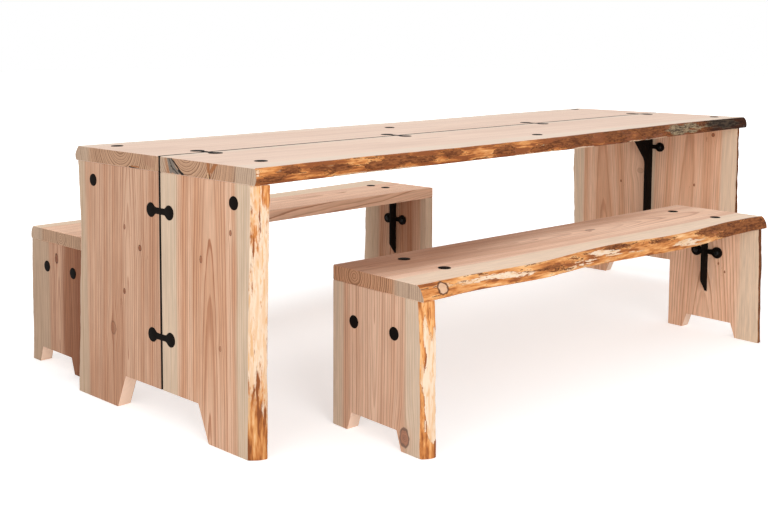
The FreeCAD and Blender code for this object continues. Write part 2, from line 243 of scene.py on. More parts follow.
class Shell:
    """Collects vertices and faces of one piece."""

    def __init__(self) -> None:
        """Start empty."""
        self.points: list[np.ndarray] = []
        self.faces: list[list[int]] = []
        self.kinds: list[int] = []
        self.count = 0

    def add_points(self, points: np.ndarray) -> np.ndarray:
        """Keep points, numbered on from the last ones.

        Args:
            points: places, shape (..., 3).

        Returns:
            Their numbers, shape (...).
        """
        flat = points.reshape(-1, 3)
        numbers = np.arange(self.count, self.count + len(flat)).reshape(points.shape[:-1])
        self.points.append(flat)
        self.count += len(flat)
        return numbers

    def add_faces(self, corners: np.ndarray, kind: int = 0) -> None:
        """Keep faces of equal corner counts, shape (n, corners)."""
        self.faces.extend(corners.tolist())
        self.kinds.extend([kind] * len(corners))

    def add_grid(self, numbers: np.ndarray, kind: int = 0, closed: bool = False) -> None:
        """Quads between neighbouring rows and columns.

        Args:
            numbers: the points' numbers, shape (rows, columns).
            kind: the faces' material index.
            closed: joins the last column to the first.
        """
        if closed:
            numbers = np.concatenate([numbers, numbers[:, :1]], axis=1)
        quads = np.stack([numbers[:-1, :-1], numbers[:-1, 1:], numbers[1:, 1:], numbers[1:, :-1]], axis=-1)
        self.add_faces(quads.reshape(-1, 4), kind)

    def mesh(self, name: str, sharp: float = 40.0) -> bpy.types.Mesh:
        """The finished mesh, faces outwards, smooth but for edges sharper than the given angle.

        Args:
            name: the mesh's name.
            sharp: angle in degrees.

        Returns:
            The mesh, with its vertices in metres.
        """
        points = np.concatenate(self.points)
        mesh = bpy.data.meshes.new(name)
        mesh.from_pydata(points.tolist(), [], self.faces)
        mesh.update()
        mesh.polygons.foreach_set("material_index", self.kinds)
        mesh.calc_loop_triangles()
        corners = np.empty(len(mesh.loop_triangles) * 3, np.int32)
        mesh.loop_triangles.foreach_get("vertices", corners)
        a, b, c = (points[corners[i::3]] for i in range(3))
        if np.einsum("ij,ij->", a, np.cross(b, c)) < 0.0:
            mesh.flip_normals()
        mesh.shade_smooth()
        mesh.set_sharp_from_angle(angle=math.radians(sharp))
        return mesh


def eased_plate(shell: Shell, outline: np.ndarray, low: float, high: float, ease_low: float,
                ease_high: float, place: Place, steps: int = 3) -> None:
    """A plate with eased rims: the outline is carried up a profile that turns in by quarter circles.

    Args:
        shell: where the surfaces go.
        outline: the outline in the local XY plane, shape (n, 2), turning left.
        low: lower face's height.
        high: upper face's height.
        ease_low: radius at the lower rim.
        ease_high: radius at the upper rim.
        place: the local frame.
        steps: rows per rim.
    """
    ahead = np.roll(outline, -1, axis=0) - outline
    ahead /= np.linalg.norm(ahead, axis=1, keepdims=True)
    behind = np.roll(ahead, 1, axis=0)
    normal = np.stack([ahead[:, 1] + behind[:, 1], -ahead[:, 0] - behind[:, 0]], axis=1)
    normal /= np.einsum("ij,ij->i", normal, np.stack([ahead[:, 1], -ahead[:, 0]], axis=1))[:, None]
    turn = np.linspace(0.0, math.pi / 2.0, steps + 1)
    inset = np.concatenate([ease_low * (1 - np.sin(turn)), ease_high * (1 - np.cos(turn))])
    height = np.concatenate([low + ease_low * (1 - np.cos(turn)), high - ease_high * (1 - np.sin(turn))])
    ring = outline[None] - inset[:, None, None] * normal[None]
    rows = np.concatenate([ring, np.broadcast_to(height[:, None, None], ring.shape[:2] + (1,))], axis=-1)
    numbers = shell.add_points(place.put(rows))
    shell.add_grid(numbers, closed=True)
    fill = np.array(tessellate_polygon([[Vector((x, y, 0.0)) for x, y in outline]]))
    shell.add_faces(numbers[0][fill][:, ::-1])
    shell.add_faces(numbers[-1][fill])


def dumbbell_outline() -> np.ndarray:
    """Two lobes joined by a neck through tangent blend arcs; one quarter is drawn and mirrored.

    Returns:
        The outline in millimetres about its middle, long along Y, shape (n, 2).
    """
    lobe, spacing, neck, blend = 20.5, LOBE_FROM_MIDDLE, 9.0, 14.0
    blend_x = neck + blend
    drop = math.sqrt((lobe + blend) ** 2 - blend_x ** 2)
    lean = math.atan2(drop, blend_x)
    inner = np.linspace(math.pi, math.pi - lean, 8)
    outer = np.linspace(-lean, math.pi / 2.0, 26)[1:]
    x = np.concatenate([blend_x + blend * np.cos(inner), lobe * np.cos(outer)])
    y = np.concatenate([spacing - drop + blend * np.sin(inner), spacing + lobe * np.sin(outer)])
    quarter = np.stack([x, y], axis=1)
    half = np.concatenate([quarter, quarter[-2::-1] * (-1, 1)])
    return np.concatenate([half, half[::-1] * (1, -1)])


def turned(shell: Shell, radii: np.ndarray, heights: np.ndarray, place: Place, centre: tuple[float, float],
           hex_rows: int = 0, segments: int = 36) -> None:
    """A closed turned form; the last hex_rows rows have a six-sided section for a key socket.

    The radius of a six-sided row is its inner radius over the cosine of the angle from a flat's middle.

    Args:
        shell: where the surface goes.
        radii: profile radii from the outer foot to the centre.
        heights: profile heights.
        place: the local frame.
        centre: the axis's local XY place.
        hex_rows: how many of the last rows are six-sided.
        segments: points per row.
    """
    angle = np.linspace(0.0, 2.0 * math.pi, segments, endpoint=False)
    row_radius = np.repeat(radii[:, None], segments, axis=1)
    if hex_rows:
        from_flat = (angle + math.pi / 6.0) % (math.pi / 3.0) - math.pi / 6.0
        row_radius[-hex_rows:] /= np.cos(from_flat)
    rows = np.stack([centre[0] + row_radius * np.cos(angle), centre[1] + row_radius * np.sin(angle),
                     np.repeat(heights[:, None], segments, axis=1)], axis=-1)
    numbers = shell.add_points(place.put(rows))
    shell.add_grid(numbers, closed=True)
    shell.add_faces(numbers[:1, ::-1])
    shell.add_faces(numbers[-1:])


def linked(name: str, data: bpy.types.ID) -> bpy.types.Object:
    """A new object in the scene.

    Args:
        name: the object's name.
        data: its mesh, lamp or camera.

    Returns:
        The object.
    """
    made = bpy.data.objects.new(name, data)
    bpy.context.scene.collection.objects.link(made)
    return made


def finish_piece(name: str, mesh: bpy.types.Mesh, body: str, nodes: tuple[str, ...],
                 materials: list[bpy.types.Material]) -> bpy.types.Object:
    """Put a mesh in the scene as a piece that rides a body and stands for its solids.

    Args:
        name: the piece's name.
        mesh: its mesh, in the row frame.
        body: the body it rides on.
        nodes: the solids it stands for.
        materials: one per material index.

    Returns:
        The piece.
    """
    for material in materials:
        mesh.materials.append(material)
    piece = linked(name, mesh)
    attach(piece, body)
    if nodes:
        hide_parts(*nodes)
    log.info("%s: %d faces on %s", name, len(mesh.polygons), body)
    return piece


# Node graphs and finishes


class Signal:
    """A socket to reckon with: each sum, difference, product or quotient adds its node."""

    def __init__(self, graph: Graph, socket: bpy.types.NodeSocket) -> None:
        """Keep the socket and the graph it is in."""
        self.graph = graph
        self.socket = socket

    def __add__(self, other: Signal | float) -> Signal:
        """This plus another."""
        return self.graph.math("ADD", self, other)

    def __sub__(self, other: Signal | float) -> Signal:
        """This less another."""
        return self.graph.math("SUBTRACT", self, other)

    def __mul__(self, other: Signal | float) -> Signal:
        """This times another."""
        return self.graph.math("MULTIPLY", self, other)

    def __truediv__(self, other: Signal | float) -> Signal:
        """This over another."""
        return self.graph.math("DIVIDE", self, other)


class Graph:
    """A node tree with short calls to add and join nodes."""

    def __init__(self, tree: bpy.types.NodeTree) -> None:
        """Keep the tree."""
        self.tree = tree

    def join(self, value: object, socket: bpy.types.NodeSocket) -> None:
        """Link a signal or a socket to a socket, or set a plain value.

        Args:
            value: the signal, the socket or the plain value.
            socket: the input it goes to.
        """
        if isinstance(value, Signal):
            value = value.socket
        if isinstance(value, bpy.types.NodeSocket):
            self.tree.links.new(value, socket)
        else:
            socket.default_value = value

    def add(self, kind: str, values: Values | None = None, **settings: object) -> bpy.types.Node:
        """Add a node, set its settings, and set or link its inputs.

        Args:
            kind: the node's type.
            values: input name or number to a value or a signal.
            settings: the node's own properties.

        Returns:
            The node.
        """
        node = self.tree.nodes.new(kind)
        for key, value in settings.items():
            setattr(node, key, value)
        for key, value in (values or {}).items():
            self.join(value, node.inputs[key])
        return node

    def out(self, kind: str, values: Values | None = None, key: str | int = 0, **settings: object) -> Signal:
        """Add a node and give one of its outputs, the first unless a key names another."""
        return Signal(self, self.add(kind, values, **settings).outputs[key])

    def outs(self, kind: str, values: Values | None = None, **settings: object) -> dict[str, Signal]:
        """Add a node and give its outputs by name."""
        return {socket.name: Signal(self, socket) for socket in self.add(kind, values, **settings).outputs}

    def math(self, operation: str, *values: object, clamp: bool = False) -> Signal:
        """One arithmetic step."""
        return self.out("ShaderNodeMath", dict(enumerate(values)), operation=operation, use_clamp=clamp)

    def vector_math(self, operation: str, *values: object, key: int = 0) -> Signal:
        """One step with vectors; key 1 gives the result that is a number."""
        return self.out("ShaderNodeVectorMath", dict(enumerate(values)), key, operation=operation)

    def mix(self, factor: object, first: object, second: object, blend: str = "MIX") -> Signal:
        """Blend two colours."""
        values = {0: factor, 6: first, 7: second}
        return self.out("ShaderNodeMix", values, 2, data_type="RGBA", blend_type=blend)

    def noise(self, place: Signal, scale: float | tuple[float, ...], detail: float = 2.0,
              rough: float = 0.5) -> Signal:
        """Noise of 0 to 1 at a place.

        Args:
            place: where to read it.
            scale: how fine it is, one number or one for each axis.
            detail: how many finer layers are added.
            rough: how strong each finer layer is.

        Returns:
            The noise.
        """
        if isinstance(scale, tuple):
            place = self.vector_math("MULTIPLY", place, scale)
            scale = 1.0
        values = {"Vector": place, "Scale": scale, "Detail": detail, "Roughness": rough}
        return self.out("ShaderNodeTexNoise", values)

    def line_noise(self, place: Signal, scale: float, detail: float) -> Signal:
        """Noise of 0 to 1 along one number."""
        values = {"W": place, "Scale": scale, "Detail": detail}
        return self.out("ShaderNodeTexNoise", values, noise_dimensions="1D")

    def span(self, value: Signal, low: float, high: float, to_low: float = 0.0,
             to_high: float = 1.0) -> Signal:
        """Smoothly carry a range of a value to another range."""
        values = dict(enumerate((value, low, high, to_low, to_high)))
        return self.out("ShaderNodeMapRange", values, interpolation_type="SMOOTHSTEP")

    def fade(self, value: Signal, low: float, high: float) -> Signal:
        """1 below low, 0 above high, with a smooth fall between."""
        return self.span(value, low, high, 1.0, 0.0)

    def number(self, name: str) -> Signal:
        """A mesh attribute that is a number."""
        return self.out("ShaderNodeAttribute", key="Fac", attribute_name=name)

    def vector(self, name: str) -> Signal:
        """A mesh attribute that is a vector."""
        return self.out("ShaderNodeAttribute", key="Vector", attribute_name=name)

    def bump(self, height: Signal, strength: float, distance: float) -> Signal:
        """A normal from a height."""
        return self.out("ShaderNodeBump", {"Height": height, "Strength": strength, "Distance": distance})

    def ramp(self, value: Signal, *stops: tuple[float, Colour]) -> Signal:
        """A colour read along a row of stops.

        Args:
            value: the place along the row.
            stops: each a place from 0 to 1 and its colour, rising.

        Returns:
            The colour.
        """
        node = self.add("ShaderNodeValToRGB", {0: value})
        row = node.color_ramp.elements
        for element, (place, colour) in zip(row, (stops[0], stops[-1])):
            element.position, element.color = place, colour
        for place, colour in stops[1:-1]:
            row.new(place).color = colour
        return Signal(self, node.outputs[0])

    def dimmed(self, colour: Signal, factor: Signal) -> Signal:
        """A colour or a vector times one number."""
        return self.out("ShaderNodeVectorMath", {0: colour, 3: factor}, operation="SCALE")

    def split(self, vector: Signal) -> list[Signal]:
        """A vector's three numbers."""
        return list(self.outs("ShaderNodeSeparateXYZ", {0: vector}).values())

    def ray(self, first: str, *others: str) -> Signal:
        """Tell rays apart: the largest of the kinds' flags.

        Args:
            first: the name of a kind of ray.
            others: more names.

        Returns:
            1 for a ray of one of these kinds, 0 for any other.
        """
        kinds = self.outs("ShaderNodeLightPath")
        found = kinds[first]
        for other in others:
            found = self.math("MAXIMUM", found, kinds[other])
        return found


class Coat(Graph):
    """The graph of a new material, with its main shader."""

    def __init__(self, name: str) -> None:
        """Make the material.

        Args:
            name: its name.
        """
        self.material = bpy.data.materials.new(name)
        self.material.use_nodes = True
        super().__init__(self.material.node_tree)

    def finish(self, colour: object, rough: object, gloss: float, normal: Signal | None = None,
               glow: Signal | None = None) -> bpy.types.Material:
        """Set or link the shader's inputs, and give the material.

        Args:
            colour: base colour.
            rough: roughness.
            gloss: strength of the mirror-like share.
            normal: the bent normal.
            glow: strength of white light from the surface itself.

        Returns:
            The material.
        """
        inputs = {"Base Color": colour, "Roughness": rough, "Specular IOR Level": gloss}
        if normal:
            inputs["Normal"] = normal
        if glow:
            inputs |= {"Emission Color": (1.0, 1.0, 1.0, 1.0), "Emission Strength": glow}
        shader = self.tree.nodes["Principled BSDF"]
        for key, value in inputs.items():
            self.join(value, shader.inputs[key])
        return self.material


class NodeGroup:
    """A shader node group with named sockets, and a graph to fill it."""

    def __init__(self, name: str, inputs: dict[str, str], results: tuple[str, ...]) -> None:
        """Make the group.

        Args:
            name: the group's name.
            inputs: socket name to kind, Float or Vector.
            results: the names of the numbers it puts out.
        """
        self.tree = bpy.data.node_groups.new(name, "ShaderNodeTree")
        sockets = [(key, "INPUT", kind) for key, kind in inputs.items()]
        sockets += [(key, "OUTPUT", "Float") for key in results]
        for key, direction, kind in sockets:
            self.tree.interface.new_socket(name=key, in_out=direction, socket_type="NodeSocket" + kind)
        self.graph = Graph(self.tree)
        self.given = self.graph.outs("NodeGroupInput")
        self.results = self.graph.add("NodeGroupOutput").inputs

    def put_out(self, **signals: Signal) -> None:
        """Link the results by name."""
        for key, signal in signals.items():
            self.graph.join(signal, self.results[key])

    def placed(self, graph: Graph, values: dict[str, object]) -> dict[str, Signal]:
        """Place the group in a graph and give its results by name."""
        return graph.outs("ShaderNodeGroup", values, node_tree=self.tree)


def ring_group() -> NodeGroup:
    """Annual rings: distance from the pith, bent by noise, over the ring's width.

    Each ring darkens slowly towards its outer rim, has a thin dark line there and then ends sharply.
    Its strength and width differ from ring to ring.

    Returns:
        The group.
    """
    group = NodeGroup("annual_rings", {"Place": "Vector", "Ring Width": "Float", "Wander": "Float"},
                      ("Late", "Tone", "Fibre"))
    g, place = group.graph, group.given["Place"]
    slow = g.noise(place, (1.3, 8.0, 8.0)) - 0.5
    quick = g.noise(place, (11.0, 70.0, 70.0)) - 0.5
    _, across, depth = g.split(place)
    radius = g.math("SQRT", across * across + depth * depth)
    radius = radius + slow * group.given["Wander"] + quick * 0.0022
    phase = radius / group.given["Ring Width"]
    phase = phase + g.line_noise(phase, 0.61, 0.0) * 1.1
    share = g.math("FRACT", phase)
    dark = g.math("POWER", share, 1.6) * 0.52 + g.span(share, 0.62, 0.84) * 0.7
    own = g.line_noise(g.math("FLOOR", phase), 5.37, 0.0)
    strength = g.fade(share, 0.93, 1.0) * g.span(own, 0.3, 0.7, 0.45, 1.0)
    group.put_out(Late=g.math("MULTIPLY", dark, strength, clamp=True),
                  Tone=g.line_noise(phase + 31.7, 0.17, 2.0),
                  Fibre=g.noise(place, (7.0, 420.0, 420.0), 4.0, 0.65))
    return group


def knot_group() -> NodeGroup:
    """A knot: an ellipse with a dark rim, fine rings inside, and a halo of richer wood outside.

    All masks are smooth steps of the length of its place in the knot's own radii.

    Returns:
        The group.
    """
    group = NodeGroup("knot", {"Place": "Vector"}, ("Inside", "Rings", "Rim", "Halo"))
    g, place = group.graph, group.given["Place"]
    along, across, gate = g.split(place)
    length = g.math("SQRT", along * along + across * across) + (g.noise(place, 1.3, 3.0) - 0.5) * 0.8
    core = g.span(length, 0.05, 0.75, 0.75, 0.35)
    rim = g.span(length, 0.72, 0.92) * g.fade(length, 1.02, 1.26)
    group.put_out(Inside=g.fade(length, 0.85, 1.0) * gate,
                  Rings=g.math("ADD", core, g.math("SINE", length * 21.0) * 0.28, clamp=True),
                  Rim=rim * gate, Halo=g.fade(length, 0.9, 2.6) * gate)
    return group


def mark_group() -> NodeGroup:
    """A ragged stroke: 1 near the line from Start to End, out to the radius, and 0 beyond.

    The nearest point on the line is at the share of its length that the dot product gives.

    Returns:
        The group.
    """
    group = NodeGroup("stroke", {"Place": "Vector", "Start": "Vector", "End": "Vector", "Radius": "Float",
                                 "Ragged": "Float"}, ("Mask",))
    g, given = group.graph, group.given
    ahead = g.vector_math("SUBTRACT", given["End"], given["Start"])
    here = g.vector_math("SUBTRACT", given["Place"], given["Start"])
    share = g.math("DIVIDE", g.vector_math("DOT_PRODUCT", here, ahead, key=1),
                   g.vector_math("DOT_PRODUCT", ahead, ahead, key=1), clamp=True)
    distance = g.vector_math("LENGTH", g.vector_math("SUBTRACT", here, g.dimmed(ahead, share)), key=1)
    rough = g.noise(given["Place"], (260.0, 260.0, 260.0), 3.0, 0.6) - 0.5
    group.put_out(Mask=g.fade((distance + rough * given["Ragged"]) / given["Radius"], 0.85, 1.15))
    return group


@dataclass(frozen=True)
class Mark:
    """A stroke on a plank's end: its log's seed, start and end across and in depth, and radius, in mm."""

    seed: int
    start: tuple[float, float]
    end: tuple[float, float]
    radius: float
    ragged: float
    colour: Colour
    strength: float = 1.0


POCKET_BLACK = (0.016, 0.013, 0.011, 1.0)
POCKET_GREY = (0.200, 0.165, 0.135, 1.0)
POCKET_DARK = (0.060, 0.048, 0.040, 1.0)
# Near-black of splits, also used for painted contact shadow along the ends' lower rims
SPLIT_AND_CONTACT_SHADOW = (0.020, 0.009, 0.005, 1.0)
AMBER = (0.330, 0.115, 0.038, 1.0)
# A painted highlight on the front plank's end, at the foot of an amber streak
PAINTED_GLEAM = (0.600, 0.380, 0.220, 1.0)
SWIRL = (0.380, 0.200, 0.125, 1.0)
# Strokes on the two top planks' left ends: amber streaks, grey and dark pockets, splits and a swirl; the
# gleam is a painted highlight and the strokes along the lower rims are painted contact shadow
END_MARKS = (
    Mark(3, (27, 40), (38, 4), 5.0, 8.0, AMBER, 0.45),
    Mark(3, (40, 40), (50, 8), 6.5, 5.0, POCKET_GREY),
    Mark(3, (49, 34), (72, 8), 8.0, 5.0, POCKET_GREY),
    Mark(3, (60, 10), (84, 7), 6.5, 5.0, POCKET_GREY),
    Mark(3, (41, 43), (60, 12), 1.5, 3.5, POCKET_DARK),
    Mark(3, (50, 22), (80, 4), 1.8, 4.5, POCKET_DARK),
    Mark(3, (49, 45), (88, 14), 2.3, 2.5, POCKET_BLACK),
    Mark(3, (86, 12), (104, 2), 4.0, 5.0, POCKET_BLACK),
    Mark(3, (246, 44), (226, 22), 6.0, 9.0, AMBER, 0.8),
    Mark(3, (212, 38), (216, 8), 6.0, 9.0, AMBER, 0.8),
    # Painted highlight
    Mark(3, (210, 14), (213, 4), 3.2, 3.0, PAINTED_GLEAM, 0.9),
    Mark(3, (216, 12), (219, -1), 1.7, 2.0, SPLIT_AND_CONTACT_SHADOW),
    # Painted contact shadow along the front plank's lower rim, where its end sits on the leg
    Mark(3, (175, -0.6), (403, -0.6), 1.3, 4.2, SPLIT_AND_CONTACT_SHADOW),
    Mark(4, (62, 30), (34, 22), 13.0, 16.0, SWIRL, 0.5),
    # Painted contact shadow under the back plank's end
    Mark(4, (142, 3), (90, -0.5), 2.1, 3.4, SPLIT_AND_CONTACT_SHADOW),
    Mark(4, (132, 6), (96, 6), 1.9, 3.5, AMBER, 0.8),
    # Painted contact shadow along the back plank's lower rim
    Mark(4, (0, -0.6), (330, -0.6), 1.0, 4.6, SPLIT_AND_CONTACT_SHADOW))


@dataclass(frozen=True)
class WoodColours:
    """The colours of a softwood plank, linear."""

    heart: Colour = (0.740, 0.480, 0.330, 1.0)
    heart_rich: Colour = (0.590, 0.315, 0.185, 1.0)
    late: Colour = (0.320, 0.100, 0.035, 1.0)
    sap: Colour = (0.640, 0.480, 0.350, 1.0)
    sap_late: Colour = (0.500, 0.340, 0.200, 1.0)
    pale: Colour = (0.870, 0.720, 0.620, 1.0)
    # Tint of the faces' darkening, which is partly painted shade and partly darker wood
    tone_and_painted_shade: Colour = (0.410, 0.265, 0.185, 1.0)
    end_heart: Colour = (0.530, 0.370, 0.255, 1.0)
    end_rich: Colour = (0.590, 0.300, 0.165, 1.0)
    end_late: Colour = (0.115, 0.045, 0.020, 1.0)
    end_sap: Colour = (0.540, 0.385, 0.275, 1.0)
    end_cut: Colour = (0.960, 0.700, 0.540, 1.0)
    knot: Colour = (0.190, 0.058, 0.024, 1.0)
    knot_pale: Colour = (0.400, 0.150, 0.070, 1.0)
    stub: Colour = (0.560, 0.310, 0.180, 1.0)
    knot_rim: Colour = (0.085, 0.030, 0.015, 1.0)
    dark_streak: Colour = (0.240, 0.072, 0.022, 1.0)
    orange: Colour = (0.520, 0.190, 0.052, 1.0)
    ochre: Colour = (0.710, 0.350, 0.130, 1.0)
    straw: Colour = (0.860, 0.580, 0.330, 1.0)
    cream: Colour = (0.740, 0.570, 0.420, 1.0)
    cream_streak: Colour = (0.660, 0.385, 0.195, 1.0)
    brown: Colour = (0.115, 0.035, 0.013, 1.0)
    brown_pale: Colour = (0.275, 0.095, 0.032, 1.0)
    rim: Colour = (0.065, 0.021, 0.008, 1.0)
    lichen: Colour = (0.350, 0.255, 0.150, 1.0)
    lichen_dark: Colour = (0.070, 0.045, 0.030, 1.0)
    dull: Colour = (0.200, 0.180, 0.200, 1.0)
    stain: Colour = (0.008, 0.006, 0.005, 1.0)


@dataclass(frozen=True)
class WoodFinish:
    """The plank materials: sawn face, live edge and end grain."""

    colours: WoodColours
    rings: NodeGroup
    knots: NodeGroup
    marks: NodeGroup

    def _ringed(self, g: Graph, share: float, bend: float) -> list[Signal]:
        """The log's rings here, at shares of their width and wander: late wood, tone and fibre."""
        return list(self.rings.placed(g, {"Place": g.vector("grain"), "Ring Width": g.number("ring") * share,
                                          "Wander": g.number("wander") * bend}).values())

    def face(self) -> bpy.types.Material:
        """Planed face: straight and flame figure, pale sapwood strips, knots, painted shade and painted
        light.

        Returns:
            The material.
        """
        c, g = self.colours, Coat("planed_wood")
        late, tone, fibre = self._ringed(g, 1.0, 1.0)
        late = late * g.number("figure")
        place = g.vector("grain")
        blotch = g.noise(place, (1.6, 9.0, 9.0), 3.0) - 0.5
        rich = g.span(tone + blotch * 0.9, 0.34, 0.72)
        heart = g.mix(late * 0.78, g.mix(rich * g.number("warmth"), c.heart, c.heart_rich), c.late)
        sap = g.mix(late * 0.6, c.sap, c.sap_late)
        ragged = g.noise(place, (3.0, 25.0, 25.0)) - 0.5
        border = g.number("heart") + (ragged * 0.02 + (tone - 0.5) * 0.03)
        colour = g.mix(g.span(border, -0.010, 0.010), sap, heart)
        colour = g.dimmed(colour, g.span(fibre, 0.25, 0.75, 0.92, 1.06))
        band = g.noise(place, (2.2, 140.0, 140.0), 3.0, 0.6)
        colour = g.dimmed(colour, g.span(band, 0.3, 0.7, 0.90, 1.08))
        knot = self.knots.placed(g, {"Place": g.vector("knot")})
        colour = g.mix(knot["Halo"] * 0.38, colour, c.heart_rich)
        colour = g.mix(knot["Inside"] * 0.92, colour, g.mix(knot["Rings"], c.knot_pale, c.knot))
        colour = g.mix(knot["Rim"] * 0.85, colour, c.knot_rim)
        colour = g.mix(g.number("pale"), colour, g.mix(0.55, colour, c.pale))
        # Painted light: each plank's factor lifts the colour of planks that lie in shade
        colour = g.dimmed(colour, g.number("bright"))
        # Painted shade and darker tone: the plank's dark zones plus a random blotch multiply the colour by
        # the shade tint
        tone_and_painted_shade = g.math("ADD", g.number("tone_and_painted_shade"), blotch * 0.38, clamp=True)
        colour = g.mix(tone_and_painted_shade, colour, c.tone_and_painted_shade, "MULTIPLY")
        colour = g.mix(g.number("stain"), colour, c.stain)
        rough = g.span(fibre, 0.2, 0.8, 0.66, 0.54)
        return g.finish(colour, rough, 0.16, g.bump(fibre * 0.5 - late * 0.35, 0.25, 0.0006))

    def end(self) -> bpy.types.Material:
        """End grain: the same rings, closer and straighter, saw marks, pores, stains and splits, with a
        painted highlight and painted contact shadow along the lower rims.

        Returns:
            The material.
        """
        c, g = self.colours, Coat("end_grain")
        late, tone, _ = self._ringed(g, 0.9, 0.5)
        late = g.math("POWER", late, 0.7)
        heart = g.mix(late * 0.80, g.mix(g.number("warmth"), c.end_heart, c.end_rich), c.end_late)
        sap = g.mix(late * 0.45, c.end_sap, c.end_late)
        border = g.number("heart") + (tone - 0.5) * 0.05
        colour = g.mix(g.span(border, -0.016, 0.016), sap, heart)
        pores = g.noise(g.vector("grain"), (20.0, 600.0, 600.0), 2.0, 0.6)
        board = g.vector("board")
        saw = g.noise(board, (1.0, 190.0, 60.0))
        colour = g.dimmed(colour, g.span(pores + (tone * 0.25 + saw * 0.4), 0.5, 1.15, 0.80, 1.12))
        colour = g.mix(g.number("cut"), colour, c.end_cut)
        for mark in END_MARKS:
            start, end = ((mark.seed * LOG_SHIFT, b * MM, z * MM) for b, z in (mark.start, mark.end))
            stroke = self.marks.placed(g, {"Place": board, "Start": start, "End": end,
                                           "Radius": mark.radius * MM, "Ragged": mark.ragged * MM})
            colour = g.mix(stroke["Mask"] * mark.strength, colour, mark.colour)
        return g.finish(colour, 0.75, 0.10, g.bump(pores + late, 0.35, 0.0006))

    def live(self) -> bpy.types.Material:
        """Live edge: dark to straw-coloured streaks, cream where peeled, brown and grey bark.

        Returns:
            The material.
        """
        c, g = self.colours, Coat("live_edge")
        board = g.vector("board")
        peel, brown, grey = (g.number(skin.value) for skin in Skin)
        crisp = g.number("crisp")
        has_lines = g.span(crisp, 5.0, 12.0)
        long = g.noise(board, (8.0, 70.0, 85.0), 3.0, 0.55)
        streak = g.noise(board, (20.0, 150.0, 170.0), 4.0, 0.6)
        fleck = g.noise(board, (75.0, 190.0, 230.0), 4.0, 0.65)
        cloud = g.noise(board, (7.0, 28.0, 32.0), 3.0)
        both = long * 0.55 + streak * 0.45
        colour = g.ramp(both * 0.7 + cloud * 0.3 + g.number("tan"), (0.415, c.dark_streak), (0.47, c.orange),
                        (0.54, c.ochre), (0.63, c.straw))
        contour = g.fade(g.math("ABSOLUTE", long - 0.46), 0.002, 0.012)
        contour = contour * g.span(cloud, 0.46, 0.56) * has_lines
        colour = g.mix(contour * 0.6, colour, c.dark_streak)
        bare = peel - 0.5 + ((both - 0.5) * 2.6 + (fleck - 0.5) * 0.6)
        peeled = g.span(bare * crisp, -0.5, 0.5)
        cream = g.mix(g.span(streak, 0.50, 0.66), c.cream, c.cream_streak)
        cream = g.mix(g.span(long, 0.50, 0.66) * 0.6, cream, c.cream_streak)
        colour = g.mix(peeled, colour, cream)
        outline = g.span(bare, -0.09, -0.02) * g.fade(bare, 0.0, 0.05)
        outline = outline * (has_lines * g.span(cloud, 0.4, 0.55))
        colour = g.mix(outline * 0.8, colour, c.dark_streak)
        ragged = (fleck - 0.5) * 0.9 + (both - 0.5) * 3.0
        held = brown - 0.5 + ragged
        barked = g.span(held, -0.03, 0.03)
        scales = fleck * 0.45 + streak * 0.55
        colour = g.mix(barked, colour, g.mix(g.span(scales, 0.42, 0.58), c.brown, c.brown_pale))
        border = g.span(held, -0.07, 0.0) * g.fade(held, 0.02, 0.09)
        colour = g.mix(border * 0.85, colour, c.rim)
        aged = g.span(grey + ragged * 0.5, 0.44, 0.58)
        colour = g.mix(aged, colour, g.mix(g.span(scales, 0.44, 0.56), c.lichen_dark, c.lichen))
        colour = g.mix(g.span(g.number("dull"), 0.2, 1.0), colour, c.dull, "MULTIPLY")
        knot = self.knots.placed(g, {"Place": g.vector("knot")})
        colour = g.mix(knot["Inside"], colour, g.mix(fleck * 0.5, c.stub, c.cream))
        colour = g.mix(knot["Rim"] * 0.9, colour, c.knot_rim)
        covered = g.math("MAXIMUM", barked, aged)
        height = both * 0.5 + covered * (fleck + 0.35) - peeled * 0.35
        return g.finish(colour, g.span(covered, 0.0, 1.0, 0.55, 0.85), 0.10, g.bump(height, 0.6, 0.0020))


@dataclass(frozen=True)
class IronFinish:
    """Black satin coat over iron: how rough it is, how fine its grain, how strong its mirror share."""

    name: str
    colour: Colour
    rough: float
    grain: float
    gloss: float

    def build(self) -> bpy.types.Material:
        """Near-black, a little uneven, with a fine cast grain.

        Returns:
            The material.
        """
        g = Coat(self.name)
        place = g.out("ShaderNodeTexCoord", key="Object")
        fine = g.noise(place, self.grain, 3.0, 0.6)
        even = g.span(fine * 0.5 + g.noise(place, 22.0) * 0.5, 0.35, 0.65)
        dark = tuple(v * 0.7 for v in self.colour[:3]) + (1.0,)
        rough = g.span(fine, 0.3, 0.7, self.rough - 0.06, self.rough + 0.08)
        return g.finish(g.mix(even, dark, self.colour), rough, self.gloss, g.bump(fine, 0.3, 0.0004))


CASTINGS_COAT = IronFinish("black_iron_coat", (0.0075, 0.0052, 0.0040, 1.0), rough=0.62, grain=900.0,
                           gloss=0.03)
BOLTS_COAT = IronFinish("black_bolt_coat", (0.0070, 0.0060, 0.0052, 1.0), rough=0.40, grain=1300.0,
                        gloss=0.16)


# Planks


@dataclass(frozen=True)
class Knot:
    """A knot on a plank: its place, its radius across, how much longer it is, how strongly it shows.

    On a live edge its second place is the depth from the wide face.
    """

    along: float
    across: float
    radius: float
    stretch: float = 1.3
    on_live: bool = False
    core: float = 1.0


@dataclass(frozen=True)
class Patch:
    """A patch of skin on a live edge: its middle along and round the edge, half sizes, strength.

    Round the edge, 0 is the wide face's rim and 1 the narrow face's.
    """

    skin: Skin
    along: float
    turn: float
    half_along: float
    half_turn: float
    strength: float = 0.75


def patches(skin: Skin, *rows: tuple[float, ...]) -> tuple[Patch, ...]:
    """Patches of one skin, each row the patch's other values in order."""
    return tuple(Patch(skin, *row) for row in rows)


